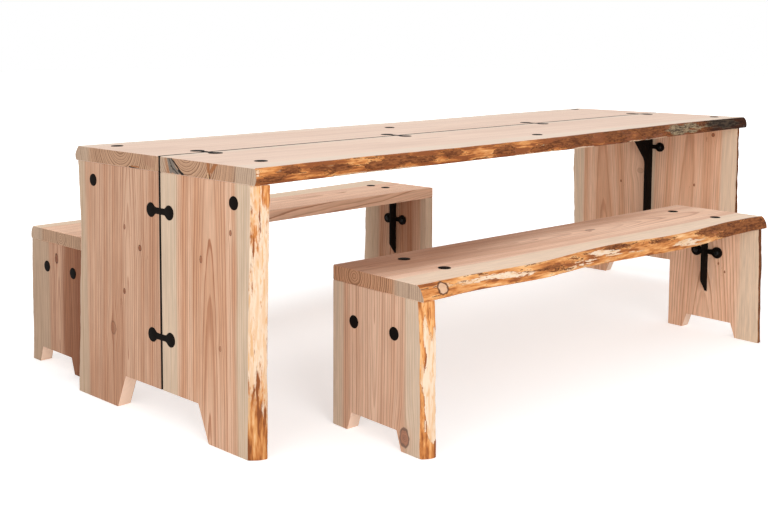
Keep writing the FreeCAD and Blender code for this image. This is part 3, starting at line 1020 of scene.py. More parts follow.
@dataclass(frozen=True)
class Tone:
    """A darker zone on a face or on the live edge: its middle, half sizes and strength. On a face it
    multiplies the colour by the shade tint; the zones on the front seat's back edge and on the rear bench's
    left leg are painted shade.
    """

    along: float
    across: float
    half_along: float
    half_across: float
    strength: float
    on_live: bool = False


@dataclass(frozen=True)
class Log:
    """How a plank was cut from its log, and how its wood and skin look.

    The pith's place, the rings' width and wander and the sapwood's widths are in millimetres. Drift
    and taper carry the pith across and in depth along the plank. The other values are shares: of rich
    heartwood, of the pale mix, of painted light that lifts planks lying in shade, of the rings' contrast,
    and of each skin. Tan lightens the skin and crisp sharpens the rims of its peeled patches. The dark
    zones darken parts of a face or of the live edge; those on the front seat's back edge and on the rear
    bench's left leg are painted shade.
    """

    seed: int
    pith_across: float
    pith_depth: float
    ring: float = 9.0
    wander: float = 20.0
    drift: float = 0.0
    taper: float = 20.0
    sap_live: float = 60.0
    sap_sawn: float = -20.0
    warmth: float = 0.8
    pale: float = 0.0
    # Painted light: a factor that lifts the colour of a plank lying in shade
    bright: float = 1.0
    figure: float = 1.0
    peel: float = 0.2
    brown: float = 0.2
    grey: float = 0.0
    tan: float = 0.0
    crisp: float = 14.0
    pale_rim: float = 0.0
    patches: tuple[Patch, ...] = ()
    dark_zones_and_painted_shade: tuple[Tone, ...] = ()


@dataclass
class Plank:
    """A sawn plank with one live edge, as a dense closed surface.

    Local axes: along the grain, across from the sawn edge to the live edge, and depth from the wide
    face to the narrow face.
    """

    name: str
    body: str
    slot: str
    place: Place
    length: float
    width: float
    thickness: float
    edge: Edge
    log: Log
    foot: Profile = ()
    knots: tuple[Knot, ...] = ()
    bulge: float = 5.0
    step_along: float = 8.0
    live_rows: int = 13
    sawn_ease: float = 1.2
    rim_ease: float = 2.2
    seam_stain: float = 0.0

    def _across_stations(self) -> np.ndarray:
        """Distances from the sawn edge: even, with more near the rim, the foot's corners and knots.

        Returns:
            The distances, rising.
        """
        rim = self.width - self.rim_ease
        last = self.width - RIM_MARGIN
        stations = [self.sawn_ease, rim, last]
        stations += [b for b, _ in self.foot if self.sawn_ease < b < self.width - FOOT_MARGIN]
        for knot in self.knots:
            if not knot.on_live:
                stations += [knot.across + k * knot.radius for k in KNOT_STEPS]
        if self.seam_stain > self.sawn_ease:
            stations += [self.seam_stain, self.seam_stain + STAIN_RIM]
        pinned = {round(b, 3) for b, _ in self.foot} | {round(s, 3) for s in stations if s < RIM_MARGIN}
        pinned.add(round(rim, 3))
        stations += list(np.linspace(self.sawn_ease, last, int(self.width / ACROSS_STEP)))
        stations = np.array(sorted(s for s in stations if self.sawn_ease <= s <= rim))
        keep = [stations[0]]
        for s in stations[1:]:
            gap = s - keep[-1]
            is_pinned = round(s, 3) in pinned
            if is_pinned and 0.0 < gap < PINNED_PULL and round(keep[-1], 3) not in pinned:
                keep[-1] = s
            elif gap >= STATION_GAP or (is_pinned and gap > PINNED_GAP):
                keep.append(s)
        return np.array(keep)

    def _along_shares(self) -> np.ndarray:
        """Shares of the length: a narrow first and last row for the eased arris, even between.

        Returns:
            The shares, from 0 to 1.
        """
        inner = np.linspace(0.0, 1.0, int(self.length / self.step_along))
        ease = END_EASE / self.length
        inner[0], inner[-1] = ease, 1.0 - ease
        return np.concatenate([[0.0], inner, [1.0]])

    def _start(self, across: np.ndarray) -> np.ndarray:
        """Where the plank begins along the grain: the foot's outline, 0 without one.

        Args:
            across: distances from the sawn edge.

        Returns:
            The first place along the grain at each of them.
        """
        if not self.foot:
            return np.zeros_like(across)
        corners = np.array(sorted(self.foot))
        return np.interp(across, corners[:, 0], corners[:, 1])

    def _edge_offset(self, along: np.ndarray, turn: np.ndarray) -> np.ndarray:
        """How far the live edge stands off the width: wide face, middle bulge, narrow face, roughness.

        Each face's rim is a spline along the grain, and between them over the thickness run a straight
        line and a parabola. Noise of three sizes and the bark's thickness are added.

        Args:
            along: places along the grain.
            turn: places over the thickness, 0 at the wide face and 1 at the narrow one.

        Returns:
            The offsets, shaped like along.
        """
        share = along / self.length
        table = np.array(self.edge)
        narrow = spline(table[:, 0], table[:, 1], share)
        wide = spline(table[:, 0], table[:, 2], share)
        smooth = (1.0 - turn) * wide + turn * narrow + 4.0 * turn * (1.0 - turn) * self.bulge
        grid = np.stack([along, turn * self.thickness, np.full_like(along, self.log.seed * 17.3)], axis=-1)
        rough = np.zeros_like(smooth)
        for i, (height, long, deep) in enumerate(ROUGHNESS):
            rough += height * lattice_noise(grid / (long, deep, 1.0), self.log.seed + i)
        barked, peeled = (smoothstep(0.35, 0.65, self._skin(skin, along, turn))
                          for skin in (Skin.BROWN, Skin.PEELED))
        return smooth + (rough + BARK_THICK * barked) - PEELED_DEPTH * peeled

    def _skin(self, skin: Skin, along: np.ndarray, turn: np.ndarray) -> np.ndarray:
        """How strongly one kind of skin lies at each point of the live edge.

        Smooth noise gives the general cover, and each patch adds its strength inside an ellipse.

        Args:
            skin: the kind.
            along: places along the plank.
            turn: places round the edge, 0 to 1.

        Returns:
            A field whose zero-to-one middle, 0.5, is the border of the cover.
        """
        seed = self.log.seed + 11 * (1 + list(Skin).index(skin))
        long, deep = COVER_SIZE
        coarse, fine = COVER_SHARES
        grid = np.stack([along / long, turn * self.thickness / deep, np.full_like(along, seed * 3.1)], -1)
        value = getattr(self.log, skin.value) + coarse * lattice_noise(grid, seed)
        value += fine * lattice_noise(grid * 2.7, seed + 5)
        for patch in self.log.patches:
            if patch.skin is skin:
                far_along = (along - patch.along) / patch.half_along
                far = np.hypot(far_along, (turn - patch.turn) / patch.half_turn)
                value += patch.strength * smoothstep(1.75, 0.15, far)
        if skin is Skin.PEELED:
            value += self.log.pale_rim * smoothstep(0.16, 0.03, turn)
        return np.clip(value, -0.6, 1.6)

    def _points(self) -> tuple[Shell, np.ndarray]:
        """The closed surface: a loop of section points carried along, and a grid over each end.

        Returns:
            The shell with points in the row frame, and the local points.
        """
        across = self._across_stations()
        shares = self._along_shares()
        rows = self.live_rows
        start = self._start(across)
        # The live edge's waves fade out inwards, and end short of the foot's corners
        free = max([b for b, _ in self.foot if b < self.width - 2.0 * FOOT_MARGIN] + [self.width * 0.3])
        pull = smoothstep(free + FOOT_MARGIN / 2.0, self.width, across)
        turn = np.linspace(0.0, 1.0, rows + 2)[1:-1]
        depth = self.sawn_ease + (self.thickness - 2 * self.sawn_ease) * turn
        end_inset = np.zeros(len(shares))
        end_inset[0] = end_inset[-1] = 1.0

        def along_at(first: np.ndarray) -> np.ndarray:
            """Places along the grain, from each column's first place to the plank's end."""
            return first + shares[:, None] * (self.length - first)

        def section(b: np.ndarray, c: np.ndarray, a: np.ndarray) -> np.ndarray:
            """Points of part of the section, drawn in towards its middle on the two end rows.

            Args:
                b: distances across.
                c: depths.
                a: places along the grain.

            Returns:
                The points, shape (..., 3).
            """
            mid_b, mid_c = self.width / 2.0, self.thickness / 2.0
            c = mid_c + (c - mid_c) * (1.0 - end_inset[:, None] * END_EASE / mid_c)
            b = mid_b + (b - mid_b) * (1.0 - end_inset[:, None] * END_EASE / mid_b)
            return np.stack([a, b, c], axis=-1)

        a_face = along_at(start[None])
        zero, one = np.zeros_like(a_face), np.ones_like(a_face)
        wide = section(across + pull * self._edge_offset(a_face, zero), zero, a_face)
        narrow = section(across + pull * self._edge_offset(a_face, one), one * self.thickness, a_face)
        a_live = along_at(np.full((1, rows), self._start(np.array([self.width]))[0]))
        t_live = np.broadcast_to(turn, a_live.shape)
        from_face = np.minimum(t_live, 1.0 - t_live) * self.thickness
        share = np.clip(1.0 - from_face / self.rim_ease, 0.0, 1.0)
        rounding = self.rim_ease * (1.0 - np.sqrt(1.0 - share ** 2))
        b_live = self.width - rounding + self._edge_offset(a_live, t_live)
        live = section(b_live, t_live * self.thickness, a_live)
        a_sawn = along_at(np.full((1, rows), start[0]))
        sawn = section(np.zeros_like(a_sawn), np.broadcast_to(depth, a_sawn.shape), a_sawn)

        shell = Shell()
        loop = np.concatenate([wide, live, narrow[:, ::-1], sawn[:, ::-1]], axis=1)
        numbers = shell.add_points(loop)
        k = len(across)
        shell.add_grid(numbers[:, :k], Surface.FACE.value)
        shell.add_grid(numbers[:, k - 1:k + rows + 1], Surface.LIVE.value)
        shell.add_grid(np.concatenate([numbers[:, k + rows:], numbers[:, :1]], axis=1), Surface.FACE.value)
        for row, flip in ((0, True), (-1, False)):
            weight = turn[:, None, None]
            inner = wide[row] * (1.0 - weight) + narrow[row] * weight
            extra = 4.0 * turn * (1.0 - turn) * self.bulge
            inner[:, :, 1] += extra[:, None] * pull[None] ** 2
            filled = shell.add_points(inner)
            w, n = numbers[row, :k], numbers[row, k + rows:2 * k + rows][::-1]
            l_col, s_col = numbers[row, k:k + rows], numbers[row, 2 * k + rows:][::-1]
            middle = np.concatenate([w[None], filled, n[None]], axis=0)
            full = np.concatenate([s_col[:, None], filled, l_col[:, None]], axis=1)
            quads = np.concatenate([
                np.stack([grid[:-1, :-1], grid[1:, :-1], grid[1:, 1:], grid[:-1, 1:]], -1).reshape(-1, 4)
                for grid in (middle, full[:, :2], full[:, -2:])])
            corners = np.array([[s_col[0], filled[0, 0], w[0]], [s_col[-1], n[0], filled[-1, 0]],
                                [l_col[0], w[-1], filled[0, -1]], [l_col[-1], filled[-1, -1], n[-1]]])
            if flip:
                quads, corners = quads[:, ::-1], corners[:, ::-1]
            shell.add_faces(quads, Surface.END.value)
            shell.add_faces(corners, Surface.END.value)
        local = np.concatenate(shell.points)
        shell.points = [self.place.put(local)]
        return shell, local

    def _knot_place(self, local: np.ndarray, on_live: bool) -> np.ndarray:
        """The nearest knot's place in its own radii, and a gate that shuts before the next knot.

        Args:
            local: local points, shape (n, 3).
            on_live: whether the knots of the live edge are meant, or those of the faces.

        Returns:
            Place along and across from the knot, and the gate, shape (n, 3).
        """
        value = np.full(local.shape, KNOT_REACH + 3.0)
        value[:, 2] = 0.0
        nearest = np.full(len(local), KNOT_REACH)
        for knot in self.knots:
            if knot.on_live != on_live:
                continue
            second = local[:, 2] if on_live else local[:, 1]
            da = (local[:, 0] - knot.along) / (knot.radius * knot.stretch)
            db = (second - knot.across) / knot.radius
            far = np.hypot(da, db)
            hit = far < nearest
            value[hit, 0], value[hit, 1] = da[hit], db[hit]
            value[hit, 2] = np.clip((KNOT_REACH - far[hit]) / 2.0, 0.0, 1.0) * knot.core
            nearest = np.minimum(nearest, far)
        return value

    def _dress(self, mesh: bpy.types.Mesh, local: np.ndarray) -> None:
        """Give the mesh the attributes that the wood finishes read, in metres where they are lengths.

        Args:
            mesh: the plank's mesh.
            local: its points in the plank's own millimetres, shape (n, 3).
        """
        cut = self.log
        along, across, depth = local.T
        shift = cut.seed * LOG_SHIFT
        pith_b = cut.pith_across + cut.drift * (along / self.length - 0.5)
        pith_c = cut.pith_depth + cut.taper * (along / self.length - 0.5)
        from_pith = across - pith_b
        for knot in self.knots:
            if knot.on_live:
                continue
            da = (along - knot.along) / (knot.radius * knot.stretch * KNOT_BEND_STRETCH)
            db = (across - knot.across) / knot.radius
            near = np.exp(-(da ** 2 + db ** 2) / 5.0)
            from_pith = from_pith - KNOT_BEND * (across - knot.across) * near
        grain = np.stack([along * MM + shift, from_pith * MM, (depth - pith_c) * MM], axis=1)
        board = np.stack([along * MM + shift, across * MM, depth * MM], axis=1)
        heart = np.minimum(self.width - across - cut.sap_live, across - cut.sap_sawn) * MM
        turn = np.clip(depth / self.thickness, 0.0, 1.0)
        tone_and_painted_shade, dull = np.zeros((2, len(local)))
        # Dark zones on a face are painted shade on some planks and darker wood on others; on the live edge
        # they make it duller
        for tone in cut.dark_zones_and_painted_shade:
            far = np.hypot((along - tone.along) / tone.half_along, (across - tone.across) / tone.half_across)
            target = dull if tone.on_live else tone_and_painted_shade
            target += tone.strength * smoothstep(1.4, 0.4, far)
        knot = self._knot_place(local, False)
        if any(k.on_live for k in self.knots):
            on_edge = across > self.width - LIVE_ZONE
            knot[on_edge] = self._knot_place(local, True)[on_edge]
        even = {name: getattr(cut, name) for name in ("warmth", "pale", "bright", "figure", "crisp")}
        even |= {"ring": cut.ring * MM, "wander": cut.wander * MM, "cut": 0.9 if self.foot else 0.0}
        floats = {name: np.full(len(local), value) for name, value in even.items()}
        floats |= {skin.value: self._skin(skin, along, turn) for skin in Skin}
        floats |= {"heart": heart, "tone_and_painted_shade": tone_and_painted_shade, "dull": np.clip(dull, 0.0, 1.0),
                   "tan": cut.tan - 0.12 * dull,
                   "stain": (across < self.seam_stain + 0.01) * float(self.seam_stain > 0.0)}
        for name, values in floats.items():
            mesh.attributes.new(name, "FLOAT", "POINT").data.foreach_set("value", values.astype(np.float32))
        for name, values in {"grain": grain, "board": board, "knot": knot}.items():
            attribute = mesh.attributes.new(name, "FLOAT_VECTOR", "POINT")
            attribute.data.foreach_set("vector", values.astype(np.float32).ravel())

    def build(self, materials: list[bpy.types.Material]) -> bpy.types.Object:
        """Make the piece.

        Args:
            materials: face, live edge and end grain.

        Returns:
            The piece.
        """
        shell, local = self._points()
        mesh = shell.mesh(self.name, 30.0)
        self._dress(mesh, local)
        return finish_piece("plank_" + self.name, mesh, self.body, (self.name,), materials)


@dataclass(frozen=True)
class TablePlanks:
    """The table's six planks, by row, or by end and row."""

    top_widths: dict[str, float]
    top_edges: dict[str, Edge]
    top_logs: dict[str, Log]
    leg_widths: dict[str, float]
    leg_edges: dict[str, Edge]
    leg_logs: dict[str, Log]
    leg_knots: dict[str, tuple[Knot, ...]]
    feet: dict[str, float]
    arch_slant: float = 43.0
    arch_height: float = 100.0

    def planks(self) -> list[Plank]:
        """Work out the six planks from the seam outwards.

        Returns:
            The planks in building order.
        """
        body, slot = "table", "table_wood"
        half_gap = SEAM_GAP / 2.0
        made = []
        for row, side in (("front", -1), ("back", 1)):
            origin = (TABLE_LEFT, SEAM_Y + side * half_gap, TABLE_UNDER)
            place = Place(origin, ((1, 0, 0), (0, side, 0), (0, 0, 1)))
            made.append(Plank(row + "_top_plank", body, slot, place, TABLE_LENGTH,
                              self.top_widths[row] - half_gap, TABLE_THICK, self.top_edges[row],
                              self.top_logs[row], seam_stain=4.0))
        for key, edge in self.leg_edges.items():
            end, row = key.split("_")
            side = -1 if row == "front" else 1
            out = -1 if end == "left" else 1
            inner = TABLE_LEFT + TABLE_THICK if end == "left" else TABLE_RIGHT - TABLE_THICK
            place = Place((inner, SEAM_Y + side * half_gap, 0.0), ((0, 0, 1), (0, side, 0), (out, 0, 0)))
            foot = self.feet[row] - half_gap
            outline = ((foot - self.arch_slant, self.arch_height), (foot, 0.0))
            made.append(Plank(key + "_leg_plank", body, slot, place, TABLE_UNDER,
                              self.leg_widths[key] - half_gap, TABLE_THICK, edge, self.leg_logs[key],
                              outline, self.leg_knots[key], step_along=6.5, seam_stain=1.8))
        return made


TABLE_PLANKS = TablePlanks(
    top_widths={"front": 403.0, "back": 414.0},
    top_edges={
        "front": ((0.0, 0, 2), (0.17, -1, 3), (0.28, 13, 12), (0.43, 14, 22), (0.63, 0, 23), (0.84, -9, 9),
                  (1.0, 6, 15)),
        "back": ((0.0, 0, 17), (0.2, -12, 6), (0.4, -5, 14), (0.55, -12, 6), (0.75, 6, 22),
                 (1.0, 3, 20))},
    top_logs={
        "front": Log(
            3, 150, 84, drift=70, taper=30, sap_live=80, sap_sawn=35, warmth=0.5, pale=0.95, peel=0.0,
            brown=0.18, pale_rim=0.65, tan=-0.045, wander=30,
            dark_zones_and_painted_shade=(Tone(1950, 410, 850, 300, 0.38, True), Tone(2580, 410, 230, 300, 0.8, True)),
            patches=patches(Skin.PEELED, (5, 0.8, 8, 0.3, 0.5)) + patches(
                Skin.BROWN, (52, 0.3, 46, 0.22), (122, 0.7, 32, 0.2), (212, 0.65, 30, 0.2),
                (292, 0.5, 52, 0.22), (410, 0.4, 46, 0.2), (515, 0.62, 52, 0.26), (612, 0.45, 42, 0.18),
                (735, 0.62, 38, 0.22), (985, 0.5, 50, 0.35), (1180, 0.35, 60, 0.2), (1330, 0.65, 80, 0.25),
                (1800, 0.5, 430, 0.75, 0.42), (2500, 0.5, 240, 0.9, 0.8)) + patches(
                Skin.GREY, (2270, 0.6, 400, 0.55, 0.6))),
        "back": Log(4, 164, 74, drift=-50, sap_live=60, warmth=0.5, pale=0.95, peel=0.1, brown=0.35,
                    pale_rim=0.6, tan=-0.03, wander=30)},
    leg_widths={"left_front": 371.0, "left_back": 434.0, "right_front": 382.0, "right_back": 386.0},
    leg_edges={
        "left_front": ((0.0, 0, 24), (0.3, 2, 27), (0.6, 7, 30), (0.85, 12, 35), (1.0, 14, 38)),
        "left_back": ((0.0, 0, 12), (0.31, -13, 3), (0.57, -22, -8), (0.74, -29, -14), (0.86, -25, -9),
                      (1.0, -17, -2)),
        "right_front": ((0.0, 2, 18), (0.35, 6, 23), (0.65, 2, 20), (1.0, 0, 21)),
        "right_back": ((0.0, 0, 14), (0.35, 4, 16), (0.7, 12, 26), (1.0, 10, 24))},
    leg_logs={
        "left_front": Log(
            5, 214, 74, drift=10, taper=26, sap_live=52, sap_sawn=72, warmth=0.9, peel=0.76, brown=-0.6,
            crisp=3.5, dark_zones_and_painted_shade=(Tone(60, 371, 190, 70, 0.38, True),),
            patches=patches(Skin.PEELED, (70, 0.5, 150, 0.9, -0.75), (695, 0.35, 45, 0.5, -0.5),
                            (630, 0.8, 70, 0.22, -0.5), (130, 0.35, 20, 0.15, 0.5))),
        "left_back": Log(6, 158, 48, drift=-14, taper=26, sap_live=62, warmth=0.6, peel=0.7, brown=0.1,
                         crisp=5.0, dark_zones_and_painted_shade=(Tone(350, 220, 700, 400, 0.30),)),
        "right_front": Log(7, 170, 66, drift=20, sap_live=50, sap_sawn=14, warmth=0.7, bright=1.21,
                           figure=0.5, peel=0.0, brown=1.1, dark_zones_and_painted_shade=(Tone(350, 390, 900, 40, 0.55, True),)),
        "right_back": Log(8, 240, 66, drift=30, taper=24, sap_live=38, bright=1.14, figure=0.5, peel=0.35,
                          brown=0.4)},
    leg_knots={
        "left_front": (Knot(577, 302, 5, core=0.9), Knot(268, 256, 5, core=0.6),
                       Knot(492, 178, 5.5, 1.6, core=0.8)),
        "left_back": (Knot(535, 171, 5, core=0.8), Knot(484, 96, 7.5, 1.0), Knot(349, 176, 5.5),
                      Knot(232, 236, 14, core=0.45)),
        "right_front": (Knot(669, 290, 7, 1.0), Knot(445, 208, 4)),
        "right_back": (Knot(487, 52, 16, 0.7, core=0.25), Knot(430, 150, 4))},
    feet={"front": 206.0, "back": 223.0})


@dataclass(frozen=True)
class BenchPlanks:
    """A bench's seat and legs."""

    stand: Stand
    seat_width: float
    seat_edge: Edge
    leg_widths: dict[str, float]
    leg_edge: Edge
    arch_centres: dict[str, float]
    seat_log: Log
    leg_logs: dict[str, Log]
    seat_knots: tuple[Knot, ...] = ()
    leg_knots: dict[str, tuple[Knot, ...]] = field(default_factory=dict)
    arch: Profile = ((-109.0, 0.0), (-91.0, 52.0), (91.0, 52.0), (109.0, 0.0))

    def planks(self) -> list[Plank]:
        """Work out the seat and the two legs on the bench's stand.

        Returns:
            The planks in building order.
        """
        stand = self.stand
        body, slot = stand.row + "_bench", "bench_wood"
        seat_place = stand.place(0.0, 0.0, BENCH_UNDER, ((1, 0, 0), (0, stand.side, 0), (0, 0, 1)))
        made = [Plank(body + "_seat", body, slot, seat_place, stand.length, self.seat_width, BENCH_THICK,
                      self.seat_edge, self.seat_log, knots=self.seat_knots, step_along=7.0)]
        for end, inner, out in (("left", BENCH_THICK, -1), ("right", stand.length - BENCH_THICK, 1)):
            place = stand.place(inner, 0.0, 0.0, ((0, 0, 1), (0, stand.side, 0), (out, 0, 0)))
            foot = tuple((self.arch_centres[end] + across, height) for across, height in self.arch)
            made.append(Plank(f"{body}_{end}_leg", body, slot, place, BENCH_UNDER, self.leg_widths[end],
                              BENCH_THICK, self.leg_edge, self.leg_logs[end], foot,
                              self.leg_knots.get(end, ()), step_along=6.0))
        return made


FRONT_BENCH_PLANKS = BenchPlanks(
    FRONT_STAND, 340.0,
    ((0.0, -2, 21), (0.13, 2, 12), (0.24, 16, 32), (0.36, 2, 22), (0.5, -12, 26), (0.62, 12, 46),
     (0.73, 14, 45), (0.88, -6, 22), (1.0, 7, 26)),
    {"left": 346.0, "right": 346.0}, ((0.0, 3, 22), (0.45, 2, 21), (0.75, 0, 16), (1.0, -4, 13)),
    {"left": 169.0, "right": 169.0},
    Log(12, 120, 70, drift=60, taper=90, wander=45, sap_live=90, warmth=0.85, pale=0.4, bright=1.17,
        peel=0.0, brown=0.10, tan=-0.01, crisp=9.0,
        # Painted shade where the table top shades the seat's back edge, strongest near the left end
        dark_zones_and_painted_shade=(Tone(60, 60, 640, 130, 0.78), Tone(900, 30, 500, 70, 0.38)),
        patches=patches(
            Skin.PEELED, (300, 0.62, 120, 0.2, 0.6), (400, 0.4, 60, 0.18, 0.6), (640, 0.3, 70, 0.2, 0.6),
            (760, 0.7, 75, 0.22, 0.6), (890, 0.5, 90, 0.25, 0.75), (1180, 0.4, 110, 0.3, 0.8),
            (1630, 0.85, 26, 0.14, 1.6)) + patches(
            Skin.BROWN, (518, 0.5, 75, 0.28, 0.6), (830, 0.85, 60, 0.14), (1020, 0.8, 80, 0.18),
            (1290, 0.8, 60, 0.16), (1540, 0.5, 200, 0.8, 0.8))),
    {"left": Log(13, 172, 34, taper=18, sap_live=62, sap_sawn=45, warmth=0.75, pale=0.15, peel=0.0,
                 brown=-0.2, tan=0.01, crisp=20.0,
                 dark_zones_and_painted_shade=(Tone(200, 346, 900, 60, 0.1, True), Tone(15, 346, 60, 60, 0.15, True)),
                 patches=patches(Skin.PEELED, (156, 0.22, 130, 0.55, 2.2), (325, 0.72, 40, 0.13, 1.0),
                                 (300, 0.12, 48, 0.14, 0.9), (15, 0.5, 34, 0.9, -1.2))),
     "right": Log(14, 150, 90, taper=24, warmth=0.3, bright=1.2, figure=0.65, brown=0.9,
                  dark_zones_and_painted_shade=(Tone(200, 350, 600, 30, 0.5, True),))},
    (Knot(76, 25, 15, 1.1, True), Knot(990, 122, 9, 2.2)),
    {"left": (Knot(40, 291, 17, 1.35),), "right": (Knot(235, 231, 3), Knot(262, 205, 3))})

REAR_BENCH_PLANKS = BenchPlanks(
    REAR_STAND, 286.0, ((0.0, 15, 26), (0.3, 22, 42), (0.6, 42, 61), (0.8, 57, 74), (1.0, 72, 90)),
    {"left": 315.0, "right": 346.0}, ((0.0, 2, 20), (0.5, -3, 16), (1.0, -6, 12)),
    {"left": 161.0, "right": 172.0},
    Log(15, 150, 60, drift=50, taper=70, wander=40, sap_live=50, warmth=0.3, pale=0.1, bright=1.22,
        peel=0.35, brown=0.25, dark_zones_and_painted_shade=(Tone(800, 0, 1300, 5, 0.25),)),
    {"left": Log(16, 140, 50, sap_live=120, warmth=0.6, peel=0.4,
                 # Painted shadow of the table's leg on the part of this leg beside it, and a wider darkening
                 # over most of the leg's face
                 dark_zones_and_painted_shade=(Tone(200, 40, 420, 70, 1.0), Tone(200, 160, 500, 240, 0.52))),
     "right": Log(17, 200, 40, sap_live=70, sap_sawn=30, warmth=1.0, bright=1.06, figure=0.7, peel=0.4,
                  dark_zones_and_painted_shade=(Tone(200, 170, 420, 180, 0.58),))},
    leg_knots={"left": (Knot(361, 151, 9, 1.6),)})


# Iron pieces


@dataclass(frozen=True)
class Facing:
    """A place on wood and the way its fittings face: in the row frame, or along and across a bench."""

    x: float
    y: float
    z: float
    normal: str

    def place(self, stand: Stand | None = None) -> Place:
        """The fitting's frame: its Z is the normal, and its Y runs along the row's or the bench's Y.

        Args:
            stand: where the bench stands, on a bench.

        Returns:
            The frame.
        """
        sign = 1 if self.normal[0] == "+" else -1
        axes = ((sign, 0, 0), (0, 1, 0), (0, 0, sign))
        if self.normal[1] == "x":
            axes = ((0, 0, -sign), (0, 1, 0), (sign, 0, 0))
        if stand is None:
            return Place((self.x, self.y, self.z), axes)
        return stand.place(self.x, self.y, self.z, axes)


def two_ends(left: float, right: float) -> tuple[tuple[str, float, int, str, str], ...]:
    """For each end its name, its outer face's X, the way inwards, and its outer and inner normals."""
    return ("left", left, 1, "-x", "+x"), ("right", right, -1, "+x", "-x")


def blend_corners(corners: np.ndarray, radii: tuple[float, ...]) -> np.ndarray:
    """Round a polygon's corners: a quadratic curve between points set back by each radius.

    Args:
        corners: the polygon, shape (n, 2).
        radii: how far each corner's curve starts from it, 0 for a sharp one.

    Returns:
        The rounded outline, shape (m, 2).
    """
    made = []
    share = np.linspace(0.0, 1.0, 6)[:, None]
    for i, radius in enumerate(radii):
        here, before, after = corners[i], corners[i - 1], corners[(i + 1) % len(corners)]
        if radius <= 0.0:
            made.append(here[None])
            continue
        start = here + (before - here) / np.linalg.norm(before - here) * radius
        end = here + (after - here) / np.linalg.norm(after - here) * radius
        made.append((1 - share) ** 2 * start + 2 * share * (1 - share) * here + share ** 2 * end)
    return np.concatenate(made)


@dataclass(frozen=True)
class Rib:
    """A bracket's rib: arms and their depths, the foot's slant, the filled corner and a stud head."""

    leg_arm: float
    top_arm: float
    leg_depth: float
    top_depth: float
    foot_cut: float
    gusset: float
    stud: tuple[float, float] | None = None
    thickness: float = 10.0

    def outline(self) -> np.ndarray:
        """The L's outline from the corner, away from the leg and up, with blended corners.

        Returns:
            The outline, shape (n, 2), turning left.
        """
        d, t, g = self.leg_depth, self.top_depth, self.gusset
        corners = np.array([(0.0, 0.0), (0.0, -self.leg_arm), (d, -self.leg_arm + self.foot_cut),
                            (d, -t - g), (d + g, -t), (self.top_arm - t, -t), (self.top_arm, 0.0)])
        inner = min(16.0, 0.4 * g)
        return blend_corners(corners, (0.0, 3.0, 6.0, inner, inner, 6.0, 3.0))


TABLE_RIB = Rib(530.0, 253.0, 55.0, 55.0, 55.0, 110.0, (73.0, -98.0))
BENCH_RIB = Rib(257.0, 253.0, 34.0, 30.0, 44.0, 12.0)


